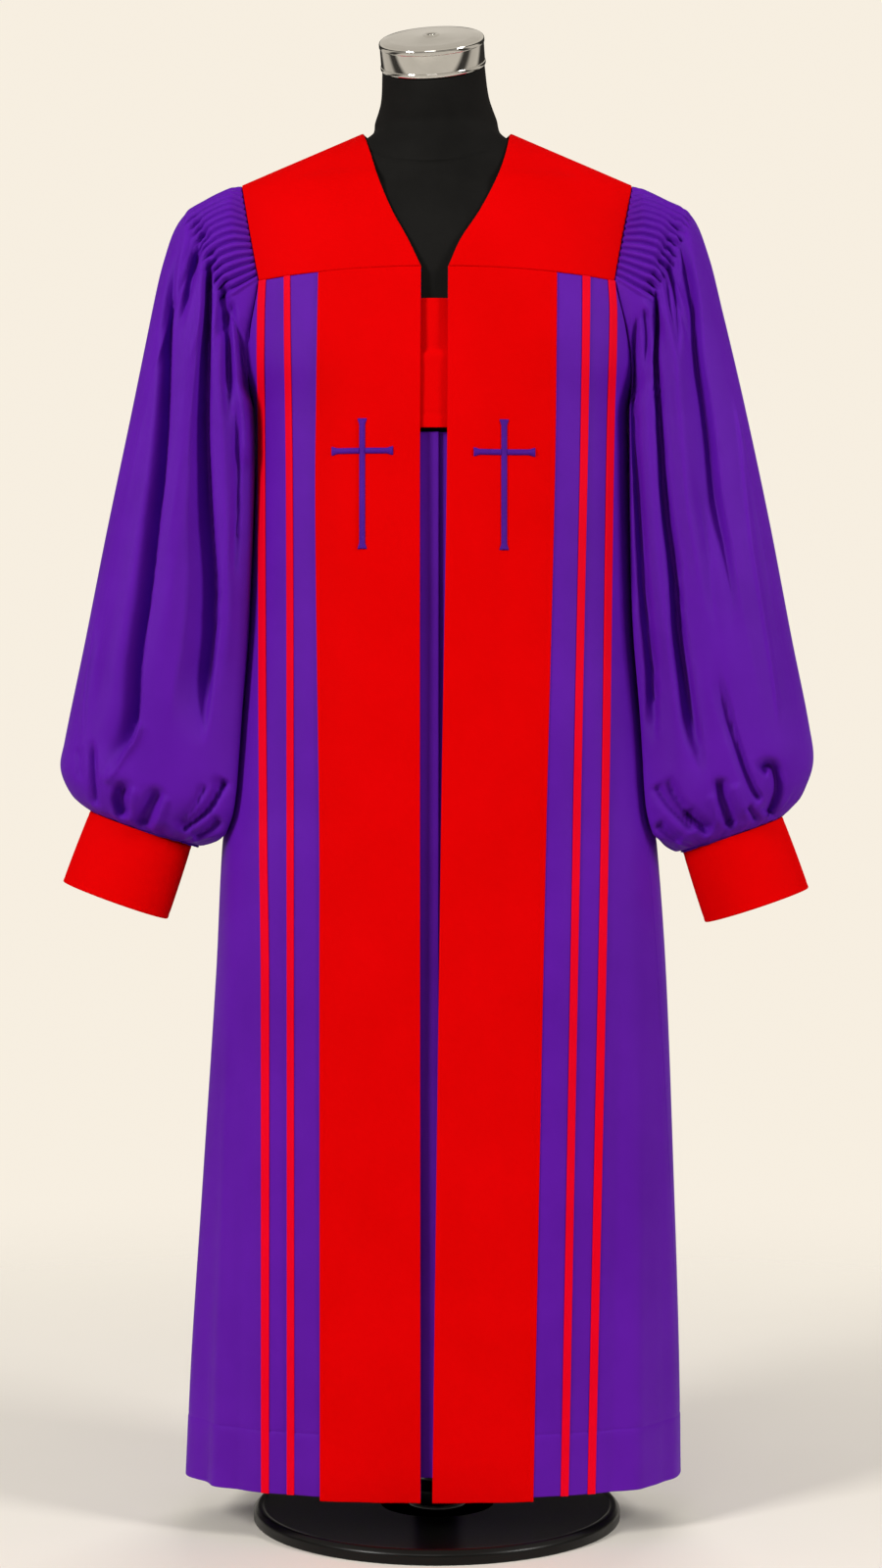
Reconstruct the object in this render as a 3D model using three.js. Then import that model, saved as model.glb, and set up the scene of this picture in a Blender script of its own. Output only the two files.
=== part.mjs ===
import * as THREE from 'three';

// Pulpit robe worn by a limbless dress form. Millimetres, +Z up, the robe's front faces -Y,
// origin in the middle of the base's underside.

// ---- Driving dimensions ----
const CLOTH_WALL = 2; // body panels, yokes and sleeves
const TRIM_WALL = 1.5; // bands, ribbons, tab, plackets, crosses
const SEAM_GAP = 0.3;
const HEM_HEIGHT = 48;
const BAND_DROP = 4; // the bands' free hems hang this far below the skirt's
const UNDERARM_HEIGHT = 1140;
const YOKE_CORNER_HEIGHT = 1258;
const YOKE_CENTRE_HEIGHT = 1267;
const YOKE_CORNER_REACH = 178.5;
const SHOULDER_TIP = { x: 199, z: 1363 };
const NECK_POINT = { x: 75, z: 1416 };
const BACK_NECK_HEIGHT = 1412;
const UNDERARM_SPREAD = 8; // the robe's right-hand armhole is this much wider at its foot

// The robe's horizontal sections, from the neck down to the hem: reach to each side, depth to the
// front and back of the shoulder plane, and the power of the section's rounded outline.
const BODY_SECTIONS = [
  { z: 1416, left: 75.6, right: 75.6, front: 50, back: 66, power: 2.0 },
  { z: 1400, left: 106, right: 106, front: 58, back: 74, power: 1.4 },
  { z: 1386, left: 140, right: 140, front: 65, back: 81, power: 1.25 },
  { z: 1372, left: 176, right: 176, front: 71, back: 87, power: 1.25 },
  { z: 1363, left: 200, right: 200, front: 75, back: 90, power: 1.35 },
  { z: 1340, left: 211, right: 211, front: 82, back: 96, power: 1.6 },
  { z: 1300, left: 213, right: 213, front: 91, back: 103, power: 1.9 },
  { z: 1262, left: 211, right: 211, front: 98, back: 108, power: 2.1 },
  { z: 1215, left: 208, right: 209, front: 103, back: 111, power: 2.3 },
  { z: 1175, left: 202, right: 205, front: 105, back: 111, power: 2.4 },
  { z: 1140, left: 187, right: 195, front: 106, back: 110, power: 2.4 },
  { z: 1090, left: 184, right: 195, front: 106.5, back: 109, power: 2.4 },
  { z: 1000, left: 187.5, right: 197, front: 107, back: 109, power: 2.4 },
  { z: 900, left: 193.5, right: 201, front: 108, back: 110, power: 2.4 },
  { z: 800, left: 202, right: 212, front: 110, back: 112, power: 2.35 },
  { z: 727, left: 209.5, right: 219, front: 111, back: 113, power: 2.3 },
  { z: 691, left: 217, right: 225, front: 112, back: 114, power: 2.3 },
  { z: 561, left: 226, right: 234.5, front: 114, back: 118, power: 2.3 },
  { z: 344, left: 240, right: 243, front: 117, back: 125, power: 2.3 },
  { z: 171, left: 251, right: 248.5, front: 119, back: 130, power: 2.3 },
  { z: 48, left: 256.5, right: 250, front: 121, back: 134, power: 2.3 },
];

// Heights of the panels' rows below the yoke seam.
const PANEL_ROWS = [
  1240, 1215, 1190, 1165, 1148, UNDERARM_HEIGHT, 1060, 940, 820, 700, 560, 400, 230, HEM_HEIGHT,
];

// Half width of the body at the armhole seam, from the shoulder tip down to the underarm.
const ARMHOLE = [
  { z: 1363, x: 199 },
  { z: 1258, x: 178.5 },
  { z: 1240, x: 182 },
  { z: 1215, x: 187 },
  { z: 1190, x: 190 },
  { z: 1165, x: 190.5 },
  { z: 1148, x: 189 },
  { z: 1140, x: 187 },
];

const ARMHOLE_DEPTH = 60; // from the shoulder plane to the loop's front or back

// Where the front edges and the sewn-on trims run, as x at each height.
const FRONT_LINES = {
  left: [
    { z: 1267, edge: -15.5, band: -117.5, inner: -146, innerOut: -152.4, outer: -169, outerOut: -176.5 },
    { z: 1045, edge: -16.5, band: -121, inner: -143, innerOut: -150, outer: -169, outerOut: -176.5 },
    { z: 700, edge: -16.5, band: -116.5, inner: -142, innerOut: -149.6, outer: -168.5, outerOut: -176 },
    { z: 48, edge: -16, band: -115.6, inner: -141.8, innerOut: -149.4, outer: -168.4, outerOut: -175.8 },
  ],
  right: [
    { z: 1267, edge: 11.2, band: 117, inner: 142.5, innerOut: 150, outer: 169.5, outerOut: 177.5 },
    { z: 1045, edge: 9.6, band: 114, inner: 139, innerOut: 146.5, outer: 166, outerOut: 174 },
    { z: 700, edge: 4, band: 107, inner: 133.5, innerOut: 141, outer: 161, outerOut: 169 },
    { z: 48, edge: -4.4, band: 95.6, inner: 122.6, innerOut: 130.6, outer: 150, outerOut: 158 },
  ],
};

// Side seams: the angle round the section, from the middle of the front, at which each lies.
const SIDE_SEAM = {
  left: [
    { z: UNDERARM_HEIGHT, angle: 90 },
    { z: HEM_HEIGHT, angle: 90 },
  ],
  right: [
    { z: UNDERARM_HEIGHT, angle: 90 },
    { z: 900, angle: 80 },
    { z: 700, angle: 70 },
    { z: 400, angle: 75 },
    { z: HEM_HEIGHT, angle: 83 },
  ],
};

// Soft folds of the skirt: the angle of each, its height outwards (a trough is negative) at the hem,
// its half width in degrees and the height above which it has died away.
const SKIRT_FOLDS = [
  { angle: -158, depth: 7, width: 9, fades: 1180 },
  { angle: -138, depth: -6, width: 9, fades: 1120 },
  { angle: -117, depth: 6, width: 9, fades: 1000 },
  { angle: -80, depth: 3, width: 6, fades: 620 },
  { angle: -66, depth: -3.5, width: 6, fades: 620 },
  { angle: 68, depth: -2.5, width: 5, fades: 700 },
  { angle: 118, depth: 5, width: 9, fades: 960 },
  { angle: 139, depth: -6, width: 9, fades: 1150 },
  { angle: 160, depth: 7.5, width: 9, fades: 1190 },
];

// The necklines' x and z from the shoulder down to the yoke seam.
const NECKLINE = {
  left: [
    { drop: 0, x: 75, z: 1416 },
    { drop: 0.2, x: 66.5, z: 1387 },
    { drop: 0.4, x: 57, z: 1356 },
    { drop: 0.6, x: 44.5, z: 1325 },
    { drop: 0.8, x: 28.5, z: 1295 },
    { drop: 1, x: 15.5, z: 1267 },
  ],
  right: [
    { drop: 0, x: 75, z: 1416 },
    { drop: 0.2, x: 69, z: 1387 },
    { drop: 0.4, x: 58, z: 1356 },
    { drop: 0.6, x: 42.5, z: 1325 },
    { drop: 0.8, x: 23.5, z: 1295 },
    { drop: 1, x: 11.4, z: 1267 },
  ],
};

// Rings of each sleeve from the armhole to the cuff: its outer and inner ends in the shoulder plane,
// its depth to the front and back, how far it swings forward, and the height of the head's flutes.
const SLEEVE_RINGS = {
  left: [
    { outerX: 211, outerZ: 1358, innerX: 189, innerZ: 1128, front: 60, back: 60, swing: 0, flute: 2.2 },
    { outerX: 232, outerZ: 1348, innerX: 190, innerZ: 1108, front: 64, back: 63, swing: 0, flute: 2.4 },
    { outerX: 260, outerZ: 1329, innerX: 190.5, innerZ: 1078, front: 66, back: 65, swing: -1, flute: 0.8 },
    { outerX: 276, outerZ: 1289, innerX: 191, innerZ: 1036, front: 67, back: 66, swing: -2, flute: 0 },
    { outerX: 289, outerZ: 1237, innerX: 194, innerZ: 978, front: 67, back: 66, swing: -4, flute: 0 },
    { outerX: 311, outerZ: 1130, innerX: 200, innerZ: 905, front: 68, back: 66, swing: -7, flute: 0 },
    { outerX: 336, outerZ: 1010, innerX: 205, innerZ: 835, front: 70, back: 68, swing: -10, flute: 0 },
    { outerX: 358, outerZ: 898, innerX: 209, innerZ: 775, front: 71, back: 69, swing: -13, flute: 0 },
    { outerX: 379, outerZ: 796, innerX: 215, innerZ: 722, front: 68, back: 66, swing: -15, flute: 0 },
    { outerX: 383, outerZ: 768, innerX: 226, innerZ: 699, front: 60, back: 58, swing: -15, flute: 0 },
    { outerX: 371, outerZ: 741, innerX: 241, innerZ: 691, front: 49, back: 47, swing: -15, flute: 0 },
  ],
  right: [
    { outerX: 211, outerZ: 1357, innerX: 198, innerZ: 1126, front: 60, back: 60, swing: 0, flute: 2.2 },
    { outerX: 232, outerZ: 1347, innerX: 200, innerZ: 1106, front: 64, back: 63, swing: 0, flute: 2.4 },
    { outerX: 259, outerZ: 1332, innerX: 201, innerZ: 1074, front: 66, back: 65, swing: -1, flute: 0.8 },
    { outerX: 276, outerZ: 1293, innerX: 202, innerZ: 1032, front: 67, back: 66, swing: -2, flute: 0 },
    { outerX: 290, outerZ: 1238, innerX: 204, innerZ: 976, front: 67, back: 66, swing: -4, flute: 0 },
    { outerX: 313, outerZ: 1140, innerX: 207.5, innerZ: 908, front: 68, back: 66, swing: -7, flute: 0 },
    { outerX: 339, outerZ: 1018, innerX: 216, innerZ: 842, front: 70, back: 68, swing: -10, flute: 0 },
    { outerX: 361, outerZ: 902, innerX: 222, innerZ: 782, front: 71, back: 69, swing: -13, flute: 0 },
    { outerX: 379, outerZ: 812, innerX: 225, innerZ: 726, front: 68, back: 66, swing: -15, flute: 0 },
    { outerX: 383, outerZ: 774, innerX: 230, innerZ: 698, front: 60, back: 58, swing: -15, flute: 0 },
    { outerX: 371, outerZ: 742, innerX: 241, innerZ: 686, front: 49, back: 47, swing: -15, flute: 0 },
  ],
};

// Cuffs: outer and inner corners of the top and bottom edges in the sleeve's plane.
const CUFF_RINGS = {
  left: [
    { outerX: 353, outerZ: 726, innerX: 250, innerZ: 690 },
    { outerX: 381, outerZ: 654, innerX: 274.5, innerZ: 615.5 },
  ],
  right: [
    { outerX: 352, outerZ: 720, innerX: 250.5, innerZ: 685 },
    { outerX: 379, outerZ: 647.5, innerX: 273.5, innerZ: 612 },
  ],
};
const CUFF_DEPTH = 38;
const CUFF_SWING = -15;

const FLUTE_COLUMNS = 16; // two for each flute, from the shoulder to the yoke's corner
const UNDERARM_COLUMNS = 6; // one for each panel row between the yoke's corner and the underarm
const FLUTED_ARC = THREE.MathUtils.degToRad(86);
const FLUTE_CROWDING = 1.3; // the armhole's columns crowd towards the shoulder tip
const SLEEVE_MIDDLE = { x: 280, z: 950 }; // a point inside each sleeve

// Long folds of the sleeves: angle from the outer edge round the front, height outwards, half width.
const SLEEVE_FOLDS = [
  { angle: 44, depth: 4, width: 9 },
  { angle: 62, depth: -4.5, width: 8 },
  { angle: 79, depth: 5, width: 9 },
  { angle: 108, depth: -5, width: 12 },
  { angle: 134, depth: 4, width: 13 },
  { angle: 226, depth: 4, width: 13 },
  { angle: 252, depth: -5, width: 12 },
  { angle: 281, depth: 5, width: 9 },
  { angle: 298, depth: -4.5, width: 8 },
  { angle: 316, depth: 4, width: 9 },
];

// Closing pieces between the fronts.
const CHEST_TAB = { top: 1236, bottom: 1107, left: -26, right: 22 };
const PLACKET = { top: 1122, bottom: 67 };
const PLACKET_LAP = 2; // the left placket reaches this far past the middle, over the right one

// Latin crosses on the bands: middle x, top and foot heights, bar height, reach of each arm.
const CROSSES = {
  left: { x: -73.3, top: 1116, foot: 987, bar: 1084, reach: 30.3 },
  right: { x: 66.6, top: 1115, foot: 986, bar: 1082.6, reach: 30.3 },
};
const CROSS_WAIST = 5.8;
const CROSS_END = 9;
const CROSS_FLARE = 7; // length over which each arm widens to its end

// Dress form: horizontal sections of its torso, centred on the shoulder plane.
const FORM_SECTIONS = [
  { z: 1413, half: 67, front: 45, back: 54, power: 2.0 },
  { z: 1397, half: 99, front: 50, back: 62, power: 1.4 },
  { z: 1383, half: 135, front: 57, back: 71, power: 1.25 },
  { z: 1369, half: 169, front: 62, back: 77, power: 1.25 },
  { z: 1360, half: 187, front: 66, back: 80, power: 1.35 },
  { z: 1340, half: 188, front: 76, back: 90, power: 1.8 },
  { z: 1300, half: 178, front: 85, back: 97, power: 2.1 },
  { z: 1258, half: 167, front: 90, back: 101, power: 2.3 },
  { z: 1200, half: 160, front: 93, back: 102, power: 2.4 },
  { z: 1120, half: 152, front: 92, back: 98, power: 2.4 },
  { z: 1020, half: 132, front: 82, back: 84, power: 2.2 },
  { z: 930, half: 144, front: 86, back: 92, power: 2.2 },
  { z: 820, half: 160, front: 92, back: 102, power: 2.2 },
  { z: 740, half: 162, front: 90, back: 102, power: 2.2 },
  { z: 712, half: 154, front: 84, back: 96, power: 2.2 },
  { z: 704, half: 140, front: 74, back: 86, power: 2.2 },
];
const FORM_COLUMNS = 36;

// Neck rings above the shoulders: centre, half width and half depth; each leans towards the cap.
const NECK_RINGS = [
  { x: -1, y: 3, z: 1429, half: 62, depth: 57, lean: 0.35 },
  { x: -2, y: -6, z: 1449, half: 55, depth: 53, lean: 0.7 },
];
const CAP_TILT = THREE.MathUtils.degToRad(25);
const CAP_ROLL = THREE.MathUtils.degToRad(4);
const CAP_SEAT = { x: -3.5, y: -14, z: 1480 };
const NECK_TOP_RADIUS = 52;
const CAP_PROFILE = [
  { r: 0, z: 0 },
  { r: 51.5, z: 0 },
  { r: 53.5, z: 1.6 },
  { r: 53.5, z: 5 },
  { r: 50.6, z: 9 },
  { r: 49.2, z: 15 },
  { r: 50.6, z: 21 },
  { r: 53.3, z: 24.5 },
  { r: 53.5, z: 28 },
  { r: 51.5, z: 30.2 },
  { r: 44, z: 31.6 },
  { r: 0, z: 33 },
];

const BASE_RADIUS = 188;
const BASE_THICKNESS = 15;
const BASE_LIP = 5;
const POLE_RADIUS = 14;
const POLE_COLLAR = { radius: 24, height: 22 };
const ROUND_SEGMENTS = 48;
const POLE_SEGMENTS = 24;

const PURPLE = { color: 0x5b1e99, roughness: 0.62, metalness: 0 };
const RED = { color: 0xd90206, roughness: 0.6, metalness: 0 };
const RIBBON_RED = { color: 0xf0021a, roughness: 0.45, metalness: 0 };
const EMBROIDERY = { color: 0x55208c, roughness: 0.4, metalness: 0 };
const FORM_BLACK = { color: 0x1b1b1a, roughness: 0.7, metalness: 0 };
const BASE_BLACK = { color: 0x2a2826, roughness: 0.35, metalness: 0.2 };
const CHROME = { color: 0xc9ccd0, roughness: 0.12, metalness: 1 };

const group = new THREE.Group();

function addPiece(name, geometry, finish) {
  const mesh = new THREE.Mesh(geometry, new THREE.MeshStandardMaterial(finish));
  mesh.name = name;
  group.add(mesh);
  return mesh;
}

// ---- Reading the tables ----

// Value of a named column between the rows of a table, by smooth (Catmull-Rom) or straight steps.
function read(table, key, at, column, smooth = true) {
  const rising = table[table.length - 1][key] > table[0][key];
  const t = rising ? at : -at;
  const position = (row) => (rising ? row[key] : -row[key]);
  let i = 0;
  while (i < table.length - 2 && t > position(table[i + 1])) i += 1;
  const [a, b] = [table[i], table[i + 1]];
  const span = position(b) - position(a);
  const s = (t - position(a)) / span;
  if (!smooth || s < 0 || s > 1) return a[column] + (b[column] - a[column]) * s;
  const before = table[Math.max(i - 1, 0)];
  const after = table[Math.min(i + 2, table.length - 1)];
  const slope = (low, high) => (high[column] - low[column]) / (position(high) - position(low));
  const m0 = slope(before, b) * span;
  const m1 = slope(a, after) * span;
  const s2 = s * s;
  const s3 = s2 * s;
  return (2 * s3 - 3 * s2 + 1) * a[column] + (s3 - 2 * s2 + s) * m0
    + (3 * s2 - 2 * s3) * b[column] + (s3 - s2) * m1;
}

const sideName = (side) => (side < 0 ? 'left' : 'right');
const section = (z, column) => read(BODY_SECTIONS, 'z', z, column);
const reach = (side, z) => section(z, sideName(side));
const radians = THREE.MathUtils.degToRad;

function armholeReach(side, z) {
  const spread = side > 0 ? UNDERARM_SPREAD * Math.max(0, (YOKE_CORNER_HEIGHT - z)) : 0;
  return read(ARMHOLE, 'z', z, 'x', false) + spread / (YOKE_CORNER_HEIGHT - UNDERARM_HEIGHT);
}

// ---- The robe's body as one surface ----

function skirtFold(signedAngle, z) {
  return SKIRT_FOLDS.reduce((sum, fold) => {
    const grown = THREE.MathUtils.clamp((fold.fades - z) / (fold.fades - HEM_HEIGHT), 0, 1);
    const off = (signedAngle - fold.angle) / fold.width;
    return sum + fold.depth * grown * Math.exp(-off * off);
  }, 0);
}

// Point of the body at an angle (radians) from the middle of the front (0) to that of the back (pi).
function bodyPoint(side, angle, z) {
  const power = 2 / section(z, 'power');
  const depth = Math.cos(angle) > 0 ? section(z, 'front') : section(z, 'back');
  const x = reach(side, z) * Math.abs(Math.sin(angle)) ** power;
  const y = -Math.sign(Math.cos(angle)) * depth * Math.abs(Math.cos(angle)) ** power;
  const fold = skirtFold(side * THREE.MathUtils.radToDeg(angle), z);
  const length = Math.hypot(x, y);
  return new THREE.Vector3(side * x * (1 + fold / length), y * (1 + fold / length), z);
}

const ANGLE_STEP = 0.02;

// Outward direction of the body at an angle, from its neighbours on the surface.
function bodyOutward(side, angle, z) {
  const along = bodyPoint(side, angle + ANGLE_STEP, z).sub(bodyPoint(side, angle - ANGLE_STEP, z));
  const down = bodyPoint(side, angle, z - 1).sub(bodyPoint(side, angle, z + 1));
  return along.cross(down).multiplyScalar(-side).normalize();
}

function angleAt(x, z) {
  const side = x < 0 ? -1 : 1;
  const share = Math.min(Math.abs(x) / reach(side, z), 1);
  return Math.asin(share ** (section(z, 'power') / 2));
}

const frontPoint = (x, z) => bodyPoint(x < 0 ? -1 : 1, angleAt(x, z), z);
const yokeSeamHeight = (x) => YOKE_CENTRE_HEIGHT
  - (YOKE_CENTRE_HEIGHT - YOKE_CORNER_HEIGHT) * (x / YOKE_CORNER_REACH) ** 2;

function seamAngle(side, z) {
  if (z > UNDERARM_HEIGHT) return angleAt(side * armholeReach(side, z), z);
  return radians(read(SIDE_SEAM[sideName(side)], 'z', z, 'angle'));
}

// ---- Walls ----

// Outward directions of a grid of points, from the points on each side of each one.
function outwardOf(points, wrap, reference) {
  const rows = points.length;
  const columns = points[0].length;
  const outward = points.map((row, i) => row.map((point, j) => {
    const next = wrap ? (j + 1) % columns : Math.min(j + 1, columns - 1);
    const last = wrap ? (j + columns - 1) % columns : Math.max(j - 1, 0);
    const along = row[next].clone().sub(row[last]);
    const down = points[Math.min(i + 1, rows - 1)][j].clone().sub(points[Math.max(i - 1, 0)][j]);
    return along.cross(down).normalize();
  }));
  const i = Math.floor(rows / 2);
  const j = Math.floor(columns / 2);
  if (outward[i][j].dot(reference(points[i][j])) < 0) {
    outward.forEach((row) => row.forEach((direction) => direction.negate()));
  }
  return outward;
}

// Closed wall between two distances from a grid of points, measured along its outward directions.
function wall(points, outward, low, high, wrap = false) {
  const rows = points.length;
  const columns = points[0].length;
  const positions = [];
  [high, low].forEach((distance) => points.forEach((row, i) => row.forEach((point, j) => {
    positions.push(...point.clone().addScaledVector(outward[i][j], distance).toArray());
  })));
  const outer = (i, j) => i * columns + (j % columns);
  const inner = (i, j) => rows * columns + outer(i, j);
  const triangles = [];
  const quad = (a, b, c, d) => triangles.push(a, b, c, a, c, d);
  const spans = wrap ? columns : columns - 1;
  for (let i = 0; i < rows - 1; i += 1) {
    for (let j = 0; j < spans; j += 1) {
      quad(outer(i, j), outer(i + 1, j), outer(i + 1, j + 1), outer(i, j + 1));
      quad(inner(i, j), inner(i, j + 1), inner(i + 1, j + 1), inner(i + 1, j));
    }
  }
  for (let j = 0; j < spans; j += 1) {
    quad(outer(0, j + 1), inner(0, j + 1), inner(0, j), outer(0, j));
    quad(outer(rows - 1, j), inner(rows - 1, j), inner(rows - 1, j + 1), outer(rows - 1, j + 1));
  }
  if (!wrap) {
    for (let i = 0; i < rows - 1; i += 1) {
      quad(outer(i, 0), inner(i, 0), inner(i + 1, 0), outer(i + 1, 0));
      quad(outer(i + 1, columns - 1), inner(i + 1, columns - 1), inner(i, columns - 1), outer(i, columns - 1));
    }
  }
  return closedGeometry(positions, triangles);
}

// Indexed geometry with its faces turned outwards.
function closedGeometry(positions, triangles) {
  const corner = (index) => new THREE.Vector3().fromArray(positions, index * 3);
  let volume = 0;
  for (let t = 0; t < triangles.length; t += 3) {
    volume += corner(triangles[t]).dot(corner(triangles[t + 1]).cross(corner(triangles[t + 2])));
  }
  if (volume < 0) triangles.reverse();
  const geometry = new THREE.BufferGeometry();
  geometry.setAttribute('position', new THREE.Float32BufferAttribute(positions, 3));
  geometry.setIndex(triangles);
  geometry.computeVertexNormals();
  return geometry;
}

const awayFromBody = (point) => new THREE.Vector3(point.x, point.y, 0);

// Direction out of the armhole loop, within the leaning surface on which the loop lies.
function armholeOutward(side, point) {
  const middle = (SHOULDER_TIP.z + UNDERARM_HEIGHT) / 2;
  const half = (SHOULDER_TIP.z - UNDERARM_HEIGHT) / 2;
  const direction = new THREE.Vector3(0, point.y / ARMHOLE_DEPTH, (point.z - middle) / half).normalize();
  const reachInside = armholeReach(side, point.z - direction.z);
  direction.x = side * (armholeReach(side, point.z) - reachInside);
  return direction;
}

// ---- Fronts and back ----

const SIDE_STEPS = 4;

// Columns of a front: its edge, the band and ribbon edges, then evenly round to the side seam.
function frontColumns(side, z) {
  const line = (column) => read(FRONT_LINES[sideName(side)], 'z', z, column);
  const edge = line('edge');
  const third = (line('band') - edge) / 3;
  return [edge, edge + third, edge + 2 * third, line('band'),
    line('inner'), line('innerOut'), line('outer'), line('outerOut')];
}

function frontRow(side, z, heightOf) {
  const fixed = frontColumns(side, z);
  const points = fixed.map((x) => frontPoint(x, heightOf(x)));
  const start = angleAt(fixed[fixed.length - 1], z);
  const seam = seamAngle(side, z);
  for (let step = 1; step <= SIDE_STEPS; step += 1) {
    const angle = start + ((seam - start) * step) / SIDE_STEPS;
    const x = reach(side, z) * Math.abs(Math.sin(angle)) ** (2 / section(z, 'power'));
    points.push(bodyPoint(side, angle, heightOf(x)));
  }
  return points;
}

// A panel's edge column takes the direction of its seam, and is drawn back from it.
function finishSeam(points, outward, side, edge, inner) {
  points.forEach((row, i) => {
    const { x, y, z } = row[edge];
    const angle = z > UNDERARM_HEIGHT ? angleAt(x, z) : seamAngle(side, z);
    outward[i][edge] = bodyOutward(side, y > 0 && z > UNDERARM_HEIGHT ? Math.PI - angle : angle, z);
    row[edge].addScaledVector(row[inner].clone().sub(row[edge]).normalize(), SEAM_GAP / 2);
  });
}

const panelTop = (x) => yokeSeamHeight(x) - SEAM_GAP / 2;

function buildFront(side) {
  const points = [frontRow(side, YOKE_CORNER_HEIGHT, panelTop)];
  PANEL_ROWS.forEach((z) => points.push(frontRow(side, z, () => z)));
  const outward = outwardOf(points, false, awayFromBody);
  const last = points[0].length - 1;
  finishSeam(points, outward, side, last, last - 1);
  return { points, outward };
}

const BACK_STEPS = 20;

function backRow(z, heightOf) {
  const points = [];
  const left = -seamAngle(-1, z);
  const right = seamAngle(1, z);
  // Above the underarm the seams lie behind the shoulder plane, as far as the front ones lie before it.
  const start = z > UNDERARM_HEIGHT ? Math.PI + left : -left;
  const end = z > UNDERARM_HEIGHT ? Math.PI - right : right;
  const total = 2 * Math.PI - start - end;
  for (let step = 0; step <= BACK_STEPS; step += 1) {
    const turned = start + (total * step) / BACK_STEPS;
    const side = turned < Math.PI ? -1 : 1;
    const angle = turned < Math.PI ? turned : 2 * Math.PI - turned;
    const x = side * reach(side, z) * Math.abs(Math.sin(angle)) ** (2 / section(z, 'power'));
    points.push(bodyPoint(side, angle, heightOf(x)));
  }
  return points;
}

function buildBack() {
  const points = [backRow(YOKE_CORNER_HEIGHT, panelTop)];
  PANEL_ROWS.forEach((z) => points.push(backRow(z, () => z)));
  const outward = outwardOf(points, false, awayFromBody);
  finishSeam(points, outward, -1, 0, 1);
  finishSeam(points, outward, 1, BACK_STEPS, BACK_STEPS - 1);
  return { points, outward };
}

// ---- Yokes ----

const YOKE_ROWS = 6;
const YOKE_COLUMNS = 6;
const SHOULDER_CROWDING = 1.5; // rows crowd towards the shoulder, where the cloth turns over
const SHOULDER_SLOPE = 0.4;
const shoulderHeight = (x) => NECK_POINT.z
  + ((SHOULDER_TIP.z - NECK_POINT.z) * (Math.abs(x) - NECK_POINT.x)) / (SHOULDER_TIP.x - NECK_POINT.x);

const yokeDrop = (i) => (i / YOKE_ROWS) ** SHOULDER_CROWDING;

// The front and back yokes meet on the shoulder line, with a mitred seam.
function onShoulder(points, outward, i, j) {
  points[i][j].y = Math.sign(points[i][j].y || -1) * (SEAM_GAP / 2);
  outward[i][j] = new THREE.Vector3(Math.sign(points[i][j].x) * SHOULDER_SLOPE, 0, 1);
}

function buildFrontYoke(side) {
  const points = [];
  for (let i = 0; i <= YOKE_ROWS; i += 1) {
    const drop = yokeDrop(i);
    const neckX = read(NECKLINE[sideName(side)], 'drop', drop, 'x');
    const neckZ = read(NECKLINE[sideName(side)], 'drop', drop, 'z');
    const seamZ = SHOULDER_TIP.z + (YOKE_CORNER_HEIGHT - SHOULDER_TIP.z) * drop;
    const row = [];
    for (let j = 0; j <= YOKE_COLUMNS; j += 1) {
      const across = j / YOKE_COLUMNS;
      const x = neckX + (armholeReach(side, seamZ) - SEAM_GAP / 2 - neckX) * across;
      const flat = neckZ + (seamZ - neckZ) * across;
      const foot = YOKE_CENTRE_HEIGHT + (YOKE_CORNER_HEIGHT - YOKE_CENTRE_HEIGHT) * across;
      const bow = (yokeSeamHeight(x) - foot) * drop;
      const z = flat + bow + (i === YOKE_ROWS ? SEAM_GAP / 2 : 0);
      row.push(i === 0 ? new THREE.Vector3(side * x, -SEAM_GAP / 2, shoulderHeight(x)) : frontPoint(side * x, z));
    }
    points.push(row);
  }
  const outward = outwardOf(points, false, awayFromBody);
  points[0].forEach((point, j) => onShoulder(points, outward, 0, j));
  return { points, outward };
}

const BACK_YOKE_COLUMNS = 14;

function buildBackYoke() {
  const points = [];
  const neckShare = NECK_POINT.x / SHOULDER_TIP.x;
  for (let i = 0; i <= YOKE_ROWS; i += 1) {
    const drop = yokeDrop(i);
    const row = [];
    for (let j = 0; j <= BACK_YOKE_COLUMNS; j += 1) {
      const across = (2 * j) / BACK_YOKE_COLUMNS - 1;
      const seamZ = SHOULDER_TIP.z + (YOKE_CORNER_HEIGHT - SHOULDER_TIP.z) * drop;
      const x = across * (armholeReach(-1, seamZ) - SEAM_GAP / 2);
      const topX = Math.abs(across) * SHOULDER_TIP.x;
      const inNeck = Math.abs(across) < neckShare;
      const neckDip = (NECK_POINT.z - BACK_NECK_HEIGHT) * Math.cos((Math.PI / 2) * (topX / NECK_POINT.x));
      const topZ = inNeck ? NECK_POINT.z - neckDip : shoulderHeight(topX);
      const z = topZ + (yokeSeamHeight(x) - topZ) * drop + (i === YOKE_ROWS ? SEAM_GAP / 2 : 0);
      const side = x < 0 ? -1 : 1;
      const ridge = i === 0 && !inNeck;
      row.push(ridge ? new THREE.Vector3(x, SEAM_GAP / 2, z) : bodyPoint(side, Math.PI - angleAt(x, z), z));
    }
    points.push(row);
  }
  const outward = outwardOf(points, false, awayFromBody);
  points[0].forEach((point, j) => {
    if (Math.abs(point.x) > NECK_POINT.x - 1) onShoulder(points, outward, 0, j);
  });
  return { points, outward };
}

// ---- Sleeves and cuffs ----

const FRONT_COLUMNS = FLUTE_COLUMNS + UNDERARM_COLUMNS;
const SLEEVE_COLUMNS = 2 * FRONT_COLUMNS;

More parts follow.
